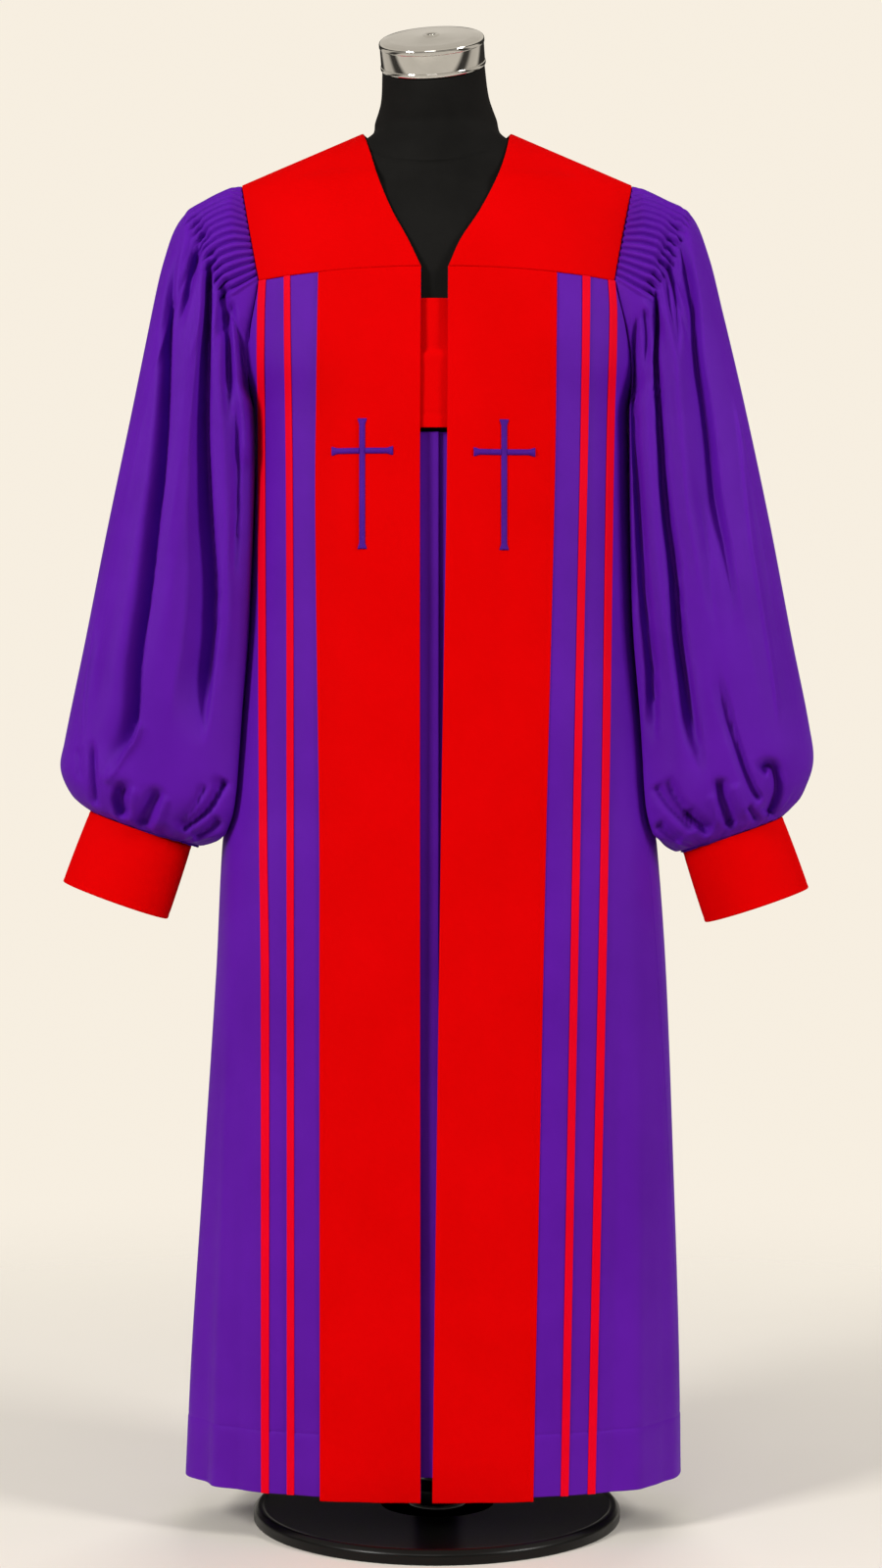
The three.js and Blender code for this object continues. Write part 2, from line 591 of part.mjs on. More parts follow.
// Angle of a column: 0 at the outer edge, a quarter turn at the front, a half turn at the inner edge.
function sleeveAngle(j) {
  const back = j > FRONT_COLUMNS;
  const step = back ? SLEEVE_COLUMNS - j : j;
  const angle = step <= FLUTE_COLUMNS
    ? (FLUTED_ARC * step) / FLUTE_COLUMNS
    : FLUTED_ARC + ((Math.PI - FLUTED_ARC) * (step - FLUTE_COLUMNS)) / UNDERARM_COLUMNS;
  return back ? 2 * Math.PI - angle : angle;
}

// The armhole loop, on the body's surface: shoulder tip, front, underarm and back to the tip.
function armholeLoop(side) {
  const lower = [YOKE_CORNER_HEIGHT, ...PANEL_ROWS.slice(0, UNDERARM_COLUMNS)];
  const loop = [];
  for (let j = 0; j < SLEEVE_COLUMNS; j += 1) {
    const back = j > FRONT_COLUMNS;
    const step = back ? SLEEVE_COLUMNS - j : j;
    const share = (step / FLUTE_COLUMNS) ** FLUTE_CROWDING;
    const z = step < FLUTE_COLUMNS
      ? SHOULDER_TIP.z + (YOKE_CORNER_HEIGHT - SHOULDER_TIP.z) * share
      : lower[step - FLUTE_COLUMNS];
    const x = side * armholeReach(side, z);
    const angle = step === FRONT_COLUMNS || step === 0 ? Math.PI / 2 : angleAt(x, z);
    const point = bodyPoint(side, back ? Math.PI - angle : angle, z);
    point.x = x + side * SEAM_GAP;
    loop.push(point);
  }
  return loop;
}

function sleeveFold(angle) {
  const degrees = THREE.MathUtils.radToDeg(angle);
  return SLEEVE_FOLDS.reduce((sum, fold) => {
    const off = (degrees - fold.angle) / fold.width;
    return sum + fold.depth * Math.exp(-off * off);
  }, 0);
}

function sleeveRing(side, ring, foldShare, loop) {
  const centre = new THREE.Vector3(side * (ring.outerX + ring.innerX) / 2, ring.swing,
    (ring.outerZ + ring.innerZ) / 2);
  const arm = new THREE.Vector3(side * (ring.outerX - ring.innerX) / 2, 0, (ring.outerZ - ring.innerZ) / 2);
  return loop.map((unused, j) => {
    const angle = sleeveAngle(j);
    const flute = j % 2 === 0 ? ring.flute : -ring.flute;
    const fluted = Math.min(j, SLEEVE_COLUMNS - j) < FLUTE_COLUMNS;
    const proud = sleeveFold(angle) * foldShare + (fluted ? flute : 0);
    const depth = Math.sin(angle) > 0 ? ring.front : ring.back;
    const spread = 1 + proud / arm.length();
    const y = -Math.sin(angle) * (depth + proud);
    return centre.clone().addScaledVector(arm, Math.cos(angle) * spread).add(new THREE.Vector3(0, y, 0));
  });
}

function cuffRing(side, corner, count, outset = 0) {
  const ring = { ...corner, swing: CUFF_SWING, front: CUFF_DEPTH, back: CUFF_DEPTH, flute: 0 };
  const blank = Array.from({ length: count });
  const axis = new THREE.Vector3(side * (corner.innerZ - corner.outerZ), 0, corner.outerX - corner.innerX);
  return sleeveRing(side, ring, 0, blank).map((point) => point.addScaledVector(axis.normalize(), outset));
}

const ringOutward = (points) => {
  const centre = points.reduce((sum, point) => sum.add(point), new THREE.Vector3()).divideScalar(points.length);
  return points.map((point) => point.clone().sub(centre).normalize());
};

function buildSleeve(side) {
  const rings = SLEEVE_RINGS[sideName(side)];
  const loop = armholeLoop(side);
  const grown = (k) => THREE.MathUtils.clamp((k - 2) / 2, 0, 1) * (k < rings.length - 1 ? 1 : 0.5);
  const points = [loop];
  rings.forEach((ring, k) => points.push(sleeveRing(side, ring, grown(k), loop)));
  points.push(cuffRing(side, CUFF_RINGS[sideName(side)][0], SLEEVE_COLUMNS, SEAM_GAP));
  const inside = new THREE.Vector3(side * SLEEVE_MIDDLE.x, 0, SLEEVE_MIDDLE.z);
  const outward = outwardOf(points, true, (point) => point.clone().sub(inside));
  outward[0] = loop.map((point) => armholeOutward(side, point));
  outward[points.length - 1] = ringOutward(points[points.length - 1]);
  return { points, outward };
}

function buildCuff(side) {
  const [top, bottom] = CUFF_RINGS[sideName(side)];
  const points = [top, bottom].map((corner) => cuffRing(side, corner, SLEEVE_COLUMNS)
    .filter((unused, j) => j % 2 === 0));
  return { points, outward: points.map(ringOutward) };
}

// ---- Pieces sewn on the fronts, and between them ----

function part(sheet, from, to) {
  const cut = (grid) => grid.map((row) => row.slice(from, to + 1));
  return { points: cut(sheet.points), outward: cut(sheet.outward) };
}

function withLowerHem(sheet, drop) {
  const last = sheet.points.length - 1;
  const lowered = sheet.points[last].map((point) => new THREE.Vector3(point.x, point.y, point.z - drop));
  return {
    points: [...sheet.points, lowered],
    outward: [...sheet.outward, sheet.outward[last]],
  };
}

// A strip behind the fronts' edges, following their surface between two heights.
function innerStrip(top, bottom, left, right, steps) {
  const heights = [top, ...PANEL_ROWS.filter((z) => z < top - 1 && z > bottom + 1), bottom];
  const points = heights.map((z) => {
    const row = [];
    for (let j = 0; j <= steps; j += 1) row.push(frontPoint(left + ((right - left) * j) / steps, z));
    return row;
  });
  return { points, outward: outwardOf(points, false, awayFromBody) };
}

// Outline of a cross with flared ends, walked round from the top's left corner.
function crossOutline({ x, top, foot, bar, reach: arm }) {
  const waist = CROSS_WAIST / 2;
  const end = CROSS_END / 2;
  const neck = arm - CROSS_FLARE;
  const high = top - CROSS_FLARE;
  const low = foot + CROSS_FLARE;
  return [
    [x - end, top], [x + end, top], [x + waist, high], [x + waist, bar + waist],
    [x + neck, bar + waist], [x + arm, bar + end], [x + arm, bar - end], [x + neck, bar - waist],
    [x + waist, bar - waist], [x + waist, low], [x + end, foot],
    [x - end, foot], [x - waist, low], [x - waist, bar - waist],
    [x - neck, bar - waist], [x - arm, bar - end], [x - arm, bar + end], [x - neck, bar + waist],
    [x - waist, bar + waist], [x - waist, high],
  ].map(([px, pz]) => new THREE.Vector2(px, pz));
}

function buildCross(cross) {
  const outline = crossOutline(cross);
  const faces = THREE.ShapeUtils.triangulateShape(outline, []);
  const bed = TRIM_WALL + 3 * SEAM_GAP;
  const positions = [];
  [bed + TRIM_WALL, bed].forEach((distance) => outline.forEach((corner) => {
    const point = frontPoint(corner.x, corner.y);
    positions.push(point.x, point.y - distance, point.z);
  }));
  const count = outline.length;
  const triangles = [];
  faces.forEach(([a, b, c]) => triangles.push(a, b, c, count + a, count + c, count + b));
  for (let k = 0; k < count; k += 1) {
    const next = (k + 1) % count;
    triangles.push(k, next, count + k, next, count + next, count + k);
  }
  return closedGeometry(positions, triangles);
}

// ---- Dress form ----

function formRing(z) {
  const at = (column) => read(FORM_SECTIONS, 'z', z, column);
  const power = 2 / at('power');
  const ring = [];
  for (let k = 0; k < FORM_COLUMNS; k += 1) {
    const angle = (2 * Math.PI * k) / FORM_COLUMNS;
    const depth = Math.cos(angle) > 0 ? at('front') : at('back');
    const x = at('half') * Math.sign(Math.sin(angle)) * Math.abs(Math.sin(angle)) ** power;
    const y = -depth * Math.sign(Math.cos(angle)) * Math.abs(Math.cos(angle)) ** power;
    ring.push(new THREE.Vector3(x, y, z));
  }
  return ring;
}

// A neck ring, leaning a share of the cap's tilt and roll.
function neckRing({ x, y, z, half, depth, lean }, drop = 0) {
  const turn = new THREE.Euler(CAP_TILT * lean, -CAP_ROLL * lean, 0);
  const ring = [];
  for (let k = 0; k < FORM_COLUMNS; k += 1) {
    const angle = (2 * Math.PI * k) / FORM_COLUMNS;
    const point = new THREE.Vector3(half * Math.sin(angle), -depth * Math.cos(angle), -drop);
    ring.push(point.applyEuler(turn).add(new THREE.Vector3(x, y, z)));
  }
  return ring;
}

// Closed body through a stack of rings, from the top one down.
function stackedBody(rings) {
  const count = rings[0].length;
  const middle = (ring) => ring.reduce((sum, point) => sum.add(point), new THREE.Vector3()).divideScalar(count);
  const positions = [];
  rings.forEach((ring) => ring.forEach((point) => positions.push(...point.toArray())));
  positions.push(...middle(rings[0]).toArray(), ...middle(rings[rings.length - 1]).toArray());
  const top = rings.length * count;
  const triangles = [];
  for (let i = 0; i < rings.length - 1; i += 1) {
    for (let k = 0; k < count; k += 1) {
      const [a, b] = [i * count + k, i * count + ((k + 1) % count)];
      triangles.push(a, a + count, b + count, a, b + count, b);
    }
  }
  const foot = (rings.length - 1) * count;
  for (let k = 0; k < count; k += 1) {
    const next = (k + 1) % count;
    triangles.push(top, k, next, top + 1, foot + next, foot + k);
  }
  return closedGeometry(positions, triangles);
}

function buildForm() {
  const seat = { ...CAP_SEAT, half: NECK_TOP_RADIUS, depth: NECK_TOP_RADIUS, lean: 1 };
  const rings = [neckRing(seat, SEAM_GAP), ...[...NECK_RINGS].reverse().map((ring) => neckRing(ring))];
  FORM_SECTIONS.forEach(({ z }) => rings.push(formRing(z)));
  return stackedBody(rings);
}

const lathe = (profile, segments) => new THREE.LatheGeometry(
  profile.map(({ r, z }) => new THREE.Vector2(r, z)), segments).rotateX(Math.PI / 2);

// ---- The pieces ----

const fronts = { left: buildFront(-1), right: buildFront(1) };
const back = buildBack();
const panel = ({ points, outward }) => wall(points, outward, -CLOTH_WALL, 0);
const trim = ({ points, outward }) => wall(points, outward, SEAM_GAP, SEAM_GAP + TRIM_WALL);
const layer = ({ points, outward }, depth) => wall(points, outward, -depth - TRIM_WALL, -depth);

['left', 'right'].forEach((name) => {
  const side = name === 'left' ? -1 : 1;
  const front = fronts[name];
  addPiece(`yoke_front_${name}`, panel(buildFrontYoke(side)), RED);
  addPiece(`front_${name}`, panel(front), PURPLE);
  addPiece(`band_${name}`, trim(withLowerHem(part(front, 0, 3), BAND_DROP)), RED);
  addPiece(`ribbon_${name}_inner`, trim(part(front, 4, 5)), RIBBON_RED);
  addPiece(`ribbon_${name}_outer`, trim(part(front, 6, 7)), RIBBON_RED);
  const sleeve = buildSleeve(side);
  addPiece(`sleeve_${name}`, wall(sleeve.points, sleeve.outward, -CLOTH_WALL, 0, true), PURPLE);
  const cuff = buildCuff(side);
  addPiece(`cuff_${name}`, wall(cuff.points, cuff.outward, -CLOTH_WALL, 0, true), RED);
  addPiece(`cross_${name}`, buildCross(CROSSES[name]), EMBROIDERY);
});
addPiece('yoke_back', panel(buildBackYoke()), RED);
addPiece('back', panel(back), PURPLE);

const behindFronts = CLOTH_WALL + 2 * SEAM_GAP;
const behindTab = behindFronts + TRIM_WALL + SEAM_GAP;
const behindLap = behindTab + TRIM_WALL + SEAM_GAP;
const tab = innerStrip(CHEST_TAB.top, CHEST_TAB.bottom, CHEST_TAB.left, CHEST_TAB.right, 2);
const overlap = innerStrip(PLACKET.top, PLACKET.bottom, CHEST_TAB.left, PLACKET_LAP, 2);
const underlap = innerStrip(PLACKET.top, PLACKET.bottom, CHEST_TAB.left / 2, CHEST_TAB.right, 2);
addPiece('chest_tab', layer(tab, behindFronts), RED);
addPiece('placket_left', layer(overlap, behindTab), PURPLE);
addPiece('placket_right', layer(underlap, behindLap), PURPLE);

addPiece('form_torso', buildForm(), FORM_BLACK);

const cap = addPiece('neck_cap', lathe(CAP_PROFILE, ROUND_SEGMENTS), CHROME);
cap.rotation.set(CAP_TILT, -CAP_ROLL, 0);
cap.position.set(CAP_SEAT.x, CAP_SEAT.y, CAP_SEAT.z);

const lip = BASE_RADIUS - BASE_LIP;
const baseProfile = [
  { r: 0, z: 0 },
  { r: BASE_RADIUS - 1, z: 0 },
  { r: BASE_RADIUS, z: 1 },
  { r: BASE_RADIUS, z: BASE_THICKNESS - BASE_LIP },
  { r: BASE_RADIUS - BASE_LIP / 4, z: BASE_THICKNESS - BASE_LIP / 2 },
  { r: lip, z: BASE_THICKNESS },
  { r: 0, z: BASE_THICKNESS },
];
addPiece('base', lathe(baseProfile, ROUND_SEGMENTS), BASE_BLACK);

const poleTop = FORM_SECTIONS[FORM_SECTIONS.length - 1].z - SEAM_GAP;
const poleFoot = BASE_THICKNESS + SEAM_GAP;
const poleProfile = [
  { r: 0, z: poleFoot },
  { r: POLE_COLLAR.radius, z: poleFoot },
  { r: POLE_COLLAR.radius, z: poleFoot + POLE_COLLAR.height },
  { r: POLE_RADIUS, z: poleFoot + POLE_COLLAR.height },
  { r: POLE_RADIUS, z: poleTop },
  { r: 0, z: poleTop },
];
addPiece('pole', lathe(poleProfile, POLE_SEGMENTS), BASE_BLACK);

export default group;
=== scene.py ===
"""Pulpit robe on a limbless dress form: cloth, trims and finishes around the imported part.

Lengths in the tables are millimetres in the part's own frame: +Z up, the robe's front faces -Y.
"""
import math

import bpy
import numpy as np
from mathutils import Matrix, Vector


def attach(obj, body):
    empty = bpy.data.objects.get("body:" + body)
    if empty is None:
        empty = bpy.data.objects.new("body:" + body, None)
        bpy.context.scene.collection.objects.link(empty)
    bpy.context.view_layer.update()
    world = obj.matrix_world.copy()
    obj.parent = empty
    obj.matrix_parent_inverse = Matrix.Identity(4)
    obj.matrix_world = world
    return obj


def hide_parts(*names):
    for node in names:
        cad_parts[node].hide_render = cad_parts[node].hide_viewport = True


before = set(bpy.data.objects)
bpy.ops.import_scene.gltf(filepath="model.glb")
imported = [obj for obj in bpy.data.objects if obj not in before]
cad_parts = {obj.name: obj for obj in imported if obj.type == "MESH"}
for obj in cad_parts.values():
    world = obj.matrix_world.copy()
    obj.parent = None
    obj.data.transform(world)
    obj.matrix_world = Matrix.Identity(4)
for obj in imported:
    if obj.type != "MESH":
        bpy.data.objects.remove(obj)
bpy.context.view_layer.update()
MM = 0.001

# ---- The robe's form ----
# Horizontal sections from the neck to the hem: height, reach left and right, depth to the front
# and back of the shoulder plane, power of the rounded outline.
BODY_SECTIONS = np.array([
    [1416, 75.6, 75.6, 50, 66, 2.0],
    [1400, 106, 106, 58, 74, 1.4],
    [1386, 140, 140, 65, 81, 1.25],
    [1372, 176, 176, 71, 87, 1.25],
    [1363, 200, 200, 75, 90, 1.35],
    [1340, 211, 211, 82, 96, 1.6],
    [1300, 213, 213, 91, 103, 1.9],
    [1262, 211, 211, 98, 108, 2.1],
    [1215, 208, 209, 103, 111, 2.3],
    [1175, 202, 205, 105, 111, 2.4],
    [1140, 187, 195, 106, 110, 2.4],
    [1090, 184, 195, 106.5, 109, 2.4],
    [1000, 187.5, 197, 107, 109, 2.4],
    [900, 193.5, 201, 108, 110, 2.4],
    [800, 205, 212, 110, 112, 2.35],
    [727, 213.5, 219, 111, 113, 2.3],
    [691, 219.5, 225, 112, 114, 2.3],
    [561, 226, 234.5, 114, 118, 2.3],
    [344, 240, 243, 117, 125, 2.3],
    [171, 251, 248.5, 119, 130, 2.3],
    [48, 256.5, 250, 121, 134, 2.3],
])
HEM_HEIGHT = 48.0
BAND_DROP = 4.0
UNDERARM_HEIGHT = 1140.0
YOKE_CORNER_HEIGHT = 1258.0
YOKE_CENTRE_HEIGHT = 1267.0
YOKE_CORNER_REACH = 178.5
SHOULDER_TIP = (199.0, 1363.0)
NECK_POINT = (75.0, 1416.0)
BACK_NECK_HEIGHT = 1412.0
UNDERARM_SPREAD = 8.0
SEAM_GAP = 0.3
SEAM_BOW = 170.0  # below the yoke seam the rows straighten out over this height
CLOTH = 0.9  # thickness of the cloth, with its lining where it is turned under
TRIM = 0.8
LEFT, RIGHT = -1, 1
SIDE_NAMES = {LEFT: "left", RIGHT: "right"}

ARMHOLE = np.array([
    [1363, 199], [1258, 178.5], [1240, 182], [1215, 187], [1190, 190], [1165, 190.5],
    [1148, 189], [1140, 187],
])

# Height, then x of the front edge, band edge, inner ribbon's two edges, outer ribbon's two edges.
FRONT_LINES = {
    LEFT: np.array([
        [1267, -15.5, -117.5, -146, -152.4, -170.3, -177.9],
        [1225, -15.7, -118.2, -145.4, -152, -171.5, -179.5],
        [1045, -16.5, -121, -143, -150, -171.5, -179.5],
        [700, -16.5, -116.5, -142, -149.6, -169, -177],
        [560, -16.4, -116.3, -142, -149.5, -167, -175.2],
        [48, -16, -115.6, -141.8, -149.4, -166.8, -174.8],
    ]),
    RIGHT: np.array([
        [1267, 11.2, 119.5, 145, 153, 170.5, 177.8],
        [1225, 10.9, 119, 144.5, 152.4, 172.5, 180.3],
        [1045, 9.6, 116.5, 142, 149.5, 169, 177.3],
        [700, 4, 108, 135, 143, 163, 171],
        [48, -4.4, 95.6, 122.6, 130.6, 150, 158],
    ]),
}
EDGE, BAND, INNER, INNER_OUT, OUTER, OUTER_OUT = 1, 2, 3, 4, 5, 6

SIDE_SEAM = {
    LEFT: np.array([[1140, 90], [48, 90]]),
    RIGHT: np.array([[1140, 90], [900, 80], [700, 70], [400, 75], [48, 83]]),
}

# Soft folds of the skirt: angle, height outwards at the hem, half width, height where it fades.
SKIRT_FOLDS = np.array([
    [-158, 7, 9, 1180], [-138, -6, 9, 1120], [-117, 6, 9, 1000], [-80, 3, 6, 620],
    [-66, -3.5, 6, 620], [68, -2.5, 5, 700], [118, 5, 9, 960], [139, -6, 9, 1150],
    [160, 7.5, 9, 1190],
])

# Share of the way down, then x and z of each neckline.
NECKLINE = {
    LEFT: np.array([[0, 75, 1416], [0.2, 66.5, 1387], [0.4, 57, 1356], [0.6, 44.5, 1325],
                    [0.8, 28.5, 1295], [1, 15.5, 1267]]),
    RIGHT: np.array([[0, 75, 1416], [0.2, 69, 1387], [0.4, 58, 1356], [0.6, 42.5, 1325],
                     [0.8, 23.5, 1295], [1, 11.4, 1267]]),
}

# Sleeve rings: outer x and z, inner x and z, depth to the front and back, swing forward.
SLEEVE_RINGS = {
    LEFT: np.array([
        [211, 1358, 189, 1128, 60, 60, 0], [232, 1348, 190, 1108, 64, 63, 0],
        [260, 1329, 190.5, 1078, 66, 65, -1], [276, 1289, 191, 1036, 67, 66, -2],
        [289, 1237, 194, 978, 67, 66, -4], [311, 1130, 200, 905, 68, 66, -7],
        [336, 1010, 205, 835, 70, 68, -10], [358, 898, 209, 775, 71, 69, -13],
        [379, 796, 215, 722, 68, 66, -15], [383, 768, 226, 699, 60, 58, -15],
        [371, 741, 241, 691, 49, 47, -15],
    ]),
    RIGHT: np.array([
        [211, 1357, 198, 1126, 60, 60, 0], [232, 1347, 200, 1106, 64, 63, 0],
        [259, 1332, 201, 1074, 66, 65, -1], [276, 1293, 202, 1032, 67, 66, -2],
        [290, 1238, 204, 976, 67, 66, -4], [313, 1140, 207.5, 908, 68, 66, -7],
        [339, 1018, 216, 842, 70, 68, -10], [361, 902, 222, 782, 71, 69, -13],
        [379, 812, 225, 726, 68, 66, -15], [383, 774, 230, 698, 60, 58, -15],
        [371, 742, 241, 686, 49, 47, -15],
    ]),
}
CUFF_RINGS = {
    LEFT: np.array([[353, 726, 250, 690], [381, 654, 274.5, 615.5]]),
    RIGHT: np.array([[352, 720, 250.5, 685], [379, 647.5, 273.5, 612]]),
}
CUFF_DEPTH = 38.0
CUFF_SWING = -15.0
FLUTED_ARC = 86.0
# Where the flutes open, as seen: the top one's distance from the middle and height, the last one's.
FLUTE_MOUTHS = {LEFT: ((250, 1332), (212, 1245)), RIGHT: ((246, 1329), (216, 1243))}
FLUTE_COUNT = 15

# How far each closing piece lies behind the fronts, with its edges.
CHEST_TAB = {"top": 1236, "bottom": 1107, "left": -26, "right": 22, "depth": 2.6}
PLACKETS = {"top": 1103.5, "bottom": 67}
PLACKET_DEPTH = {LEFT: 9.0, RIGHT: 14.0}
PLACKET_LAP = 2.0
CROSSES = {
    LEFT: {"x": -73.3, "top": 1116, "foot": 987, "bar": 1084, "reach": 30.3},
    RIGHT: {"x": 66.6, "top": 1115, "foot": 986, "bar": 1082.6, "reach": 30.3},
}
CROSS_WAIST = 5.8
CROSS_END = 9.0
CROSS_FLARE = 7.0
BAND_PROUD = SEAM_GAP + 0.35 + TRIM  # outer face of the bands, above the fronts
RIBBON_PROUD = SEAM_GAP + 0.3 + TRIM
RIBBON_WALL = 0.55
CUFF_LENGTH = 77.0
CUFF_STITCH = 5.5  # distance of each stitch line from the cuff's edge
CUFF_WALL = 1.6

FORM_SECTIONS = np.array([
    [1413, 67, 54, 54, 2.0], [1397, 99, 57, 62, 1.4], [1383, 135, 61, 71, 1.25],
    [1369, 169, 65, 77, 1.25], [1360, 187, 66, 80, 1.35], [1340, 191, 76, 90, 1.8],
    [1300, 188, 85, 97, 2.1], [1258, 180, 90, 101, 2.3], [1200, 168, 93, 102, 2.4],
    [1120, 152, 92, 98, 2.4], [1020, 132, 82, 84, 2.2], [930, 144, 86, 92, 2.2],
    [820, 160, 92, 102, 2.2], [740, 162, 90, 102, 2.2], [712, 154, 84, 96, 2.2],
    [704, 140, 74, 86, 2.2],
])
# Neck rings: centre, half width and depth, share of the cap's lean.
NECK_RINGS = np.array([
    [-3.5, -14, 1480, 52, 52, 1.0], [-2, -6, 1449, 55, 53, 0.7], [-1, 3, 1429, 62, 57, 0.35],
])
CAP_TILT = 25.0
CAP_ROLL = 4.0
CAP_SEAT = (-3.5, -14.0, 1480.0)
BASE_RADIUS = 188.0
BASE_THICKNESS = 15.0
BASE_LIP = 5.0


# ---- Curves and grids ----
def curve(table, column, at):
    """Value of a column of a table at places along its first column, by smooth steps."""
    rows = table if table[0, 0] < table[-1, 0] else table[::-1]
    places, values = rows[:, 0], rows[:, column]
    at = np.asarray(at, float)
    last = len(places) - 1
    i = np.clip(np.searchsorted(places, at) - 1, 0, last - 1)
    before, after = np.maximum(i - 1, 0), np.minimum(i + 2, last)
    span = places[i + 1] - places[i]
    s = (at - places[i]) / span
    rise = values[i + 1] - values[i]
    start = (values[i + 1] - values[before]) / (places[i + 1] - places[before]) * span
    finish = (values[after] - values[i]) / (places[after] - places[i]) * span
    smooth = (
        (2 * s**3 - 3 * s**2 + 1) * values[i] + (s**3 - 2 * s**2 + s) * start
        + (3 * s**2 - 2 * s**3) * values[i + 1] + (s**3 - s**2) * finish
    )
    return np.where((s < 0) | (s > 1), values[i] + rise * s, smooth)


def straight(table, column, at):
    rows = table if table[0, 0] < table[-1, 0] else table[::-1]
    return np.interp(at, rows[:, 0], rows[:, column])


def ease(value, low, high):
    """0 below low, 1 above high, smooth between."""
    t = np.clip((value - low) / (high - low), 0, 1)
    return t * t * (3 - 2 * t)


def bell(distance, width):
    return np.exp(-(distance / width) ** 2)


def unit(vectors):
    return vectors / np.maximum(np.linalg.norm(vectors, axis=-1, keepdims=True), 1e-9)


def normals_of(points, wrap=False):
    """Normals of a grid of points; with wrap, its last column joins the first."""
    if wrap:
        along = np.roll(points, -1, axis=1) - np.roll(points, 1, axis=1)
    else:
        along = np.gradient(points, axis=1)
    return unit(np.cross(along, np.gradient(points, axis=0)))


def facing(points, direction, wrap=False):
    """Normals turned to the side that the direction at the grid's middle is on."""
    normals = normals_of(points, wrap)
    middle = (points.shape[0] // 2, points.shape[1] // 2)
    return normals if np.dot(normals[middle], direction[middle]) > 0 else -normals


def away(points):
    return points * np.array([1.0, 1.0, 0.0])


# ---- Robe surfaces ----
def reach(side, z):
    return curve(BODY_SECTIONS, 1 if side < 0 else 2, z)


def armhole_reach(side, z):
    spread = np.maximum(0, YOKE_CORNER_HEIGHT - z) / (YOKE_CORNER_HEIGHT - UNDERARM_HEIGHT)
    return straight(ARMHOLE, 1, z) + (UNDERARM_SPREAD * spread if side > 0 else 0)


def skirt_fold(degrees, z):
    total = 0.0
    for angle, depth, width, fades in SKIRT_FOLDS:
        grown = np.clip((fades - z) / (fades - HEM_HEIGHT), 0, 1)
        total = total + depth * grown * bell(degrees - angle, width)
    return total


def body_point(side, angle, z):
    """Point of the robe's body at an angle from the middle of the front (0) to the back (pi)."""
    angle, z = np.broadcast_arrays(np.asarray(angle, float), np.asarray(z, float))
    power = 2 / curve(BODY_SECTIONS, 5, z)
    front = np.cos(angle) > 0
    depth = np.where(front, curve(BODY_SECTIONS, 3, z), curve(BODY_SECTIONS, 4, z))
    x = reach(side, z) * np.abs(np.sin(angle)) ** power
    y = -np.sign(np.cos(angle)) * depth * np.abs(np.cos(angle)) ** power
    fold = skirt_fold(side * np.degrees(angle), z)
    scale = 1 + fold / np.hypot(x, y)
    return np.stack([side * x * scale, y * scale, z], axis=-1)


def angle_at(x, z):
    side_reach = np.where(x < 0, reach(LEFT, z), reach(RIGHT, z))
    share = np.minimum(np.abs(x) / side_reach, 1)
    return np.arcsin(share ** (curve(BODY_SECTIONS, 5, z) / 2))


def front_point(x, z):
    x, z = np.broadcast_arrays(np.asarray(x, float), np.asarray(z, float))
    angle = angle_at(x, z)
    return np.where((x < 0)[..., None], body_point(LEFT, angle, z), body_point(RIGHT, angle, z))


def yoke_seam_height(x):
    fall = YOKE_CENTRE_HEIGHT - YOKE_CORNER_HEIGHT
    return YOKE_CENTRE_HEIGHT - fall * (x / YOKE_CORNER_REACH) ** 2


def seam_angle(side, z):
    below = np.radians(curve(SIDE_SEAM[side], 1, z))
    above = angle_at(side * armhole_reach(side, z), z)
    return np.where(z > UNDERARM_HEIGHT, above, below)


# ---- Meshes ----
def make_mesh(name, points, faces, uvs=None):
    mesh = bpy.data.meshes.new(name)
    mesh.from_pydata((points * MM).tolist(), [], faces)
    if uvs is not None:
        layer = mesh.uv_layers.new(name="cloth")
        corner = np.empty(len(mesh.loops), np.int64)
        mesh.loops.foreach_get("vertex_index", corner)
        layer.data.foreach_set("uv", uvs[corner].astype(np.float32).ravel())
    mesh.validate()
    mesh.update()
    obj = bpy.data.objects.new(name, mesh)
    bpy.context.scene.collection.objects.link(obj)
    fix_direction(obj)
    return obj


def grid_faces(rows, columns, wrap=False, start=0):
    i = np.arange(rows - 1)[:, None]
    spans = columns if wrap else columns - 1
    j = np.arange(spans)[None, :]
    following = (j + 1) % columns
    first = start + i * columns + j
    second = start + i * columns + following
    third = start + (i + 1) * columns + following
    fourth = start + (i + 1) * columns + j
    return np.stack(np.broadcast_arrays(first, second, third, fourth), axis=-1).reshape(-1, 4)


def cloth_uvs(points):
    """Where each point lies on the flat cloth, in metres, along and across its grid."""
    across = np.linalg.norm(np.diff(points, axis=1), axis=2)
    down = np.linalg.norm(np.diff(points, axis=0), axis=2)
    u = np.concatenate([np.zeros((len(points), 1)), np.cumsum(across, axis=1)], axis=1)
    v = np.concatenate([np.zeros((1, points.shape[1])), np.cumsum(down, axis=0)], axis=0)
    u = u - u[:, [points.shape[1] // 2]]
    return np.stack([u, -v], axis=-1).reshape(-1, 2) * MM


def shell_faces(rows, columns, wrap=False, start=0):
    """Faces of a closed shell: its outer grid, its inner grid and the rims between them."""
    count = rows * columns
    index = np.arange(count).reshape(rows, columns) + start
    loops = [np.concatenate([index[0], index[1:, -1], index[-1, -2::-1], index[-2:0:-1, 0]])]
    if wrap:
        loops = [index[0], index[-1][::-1]]
    rims = [np.append(loop, loop[0]) for loop in loops]
    return np.concatenate([
        grid_faces(rows, columns, wrap, start),
        grid_faces(rows, columns, wrap, start + count)[:, ::-1],
        *[np.stack([rim[1:], rim[:-1], rim[:-1] + count, rim[1:] + count], axis=1) for rim in rims],
    ])


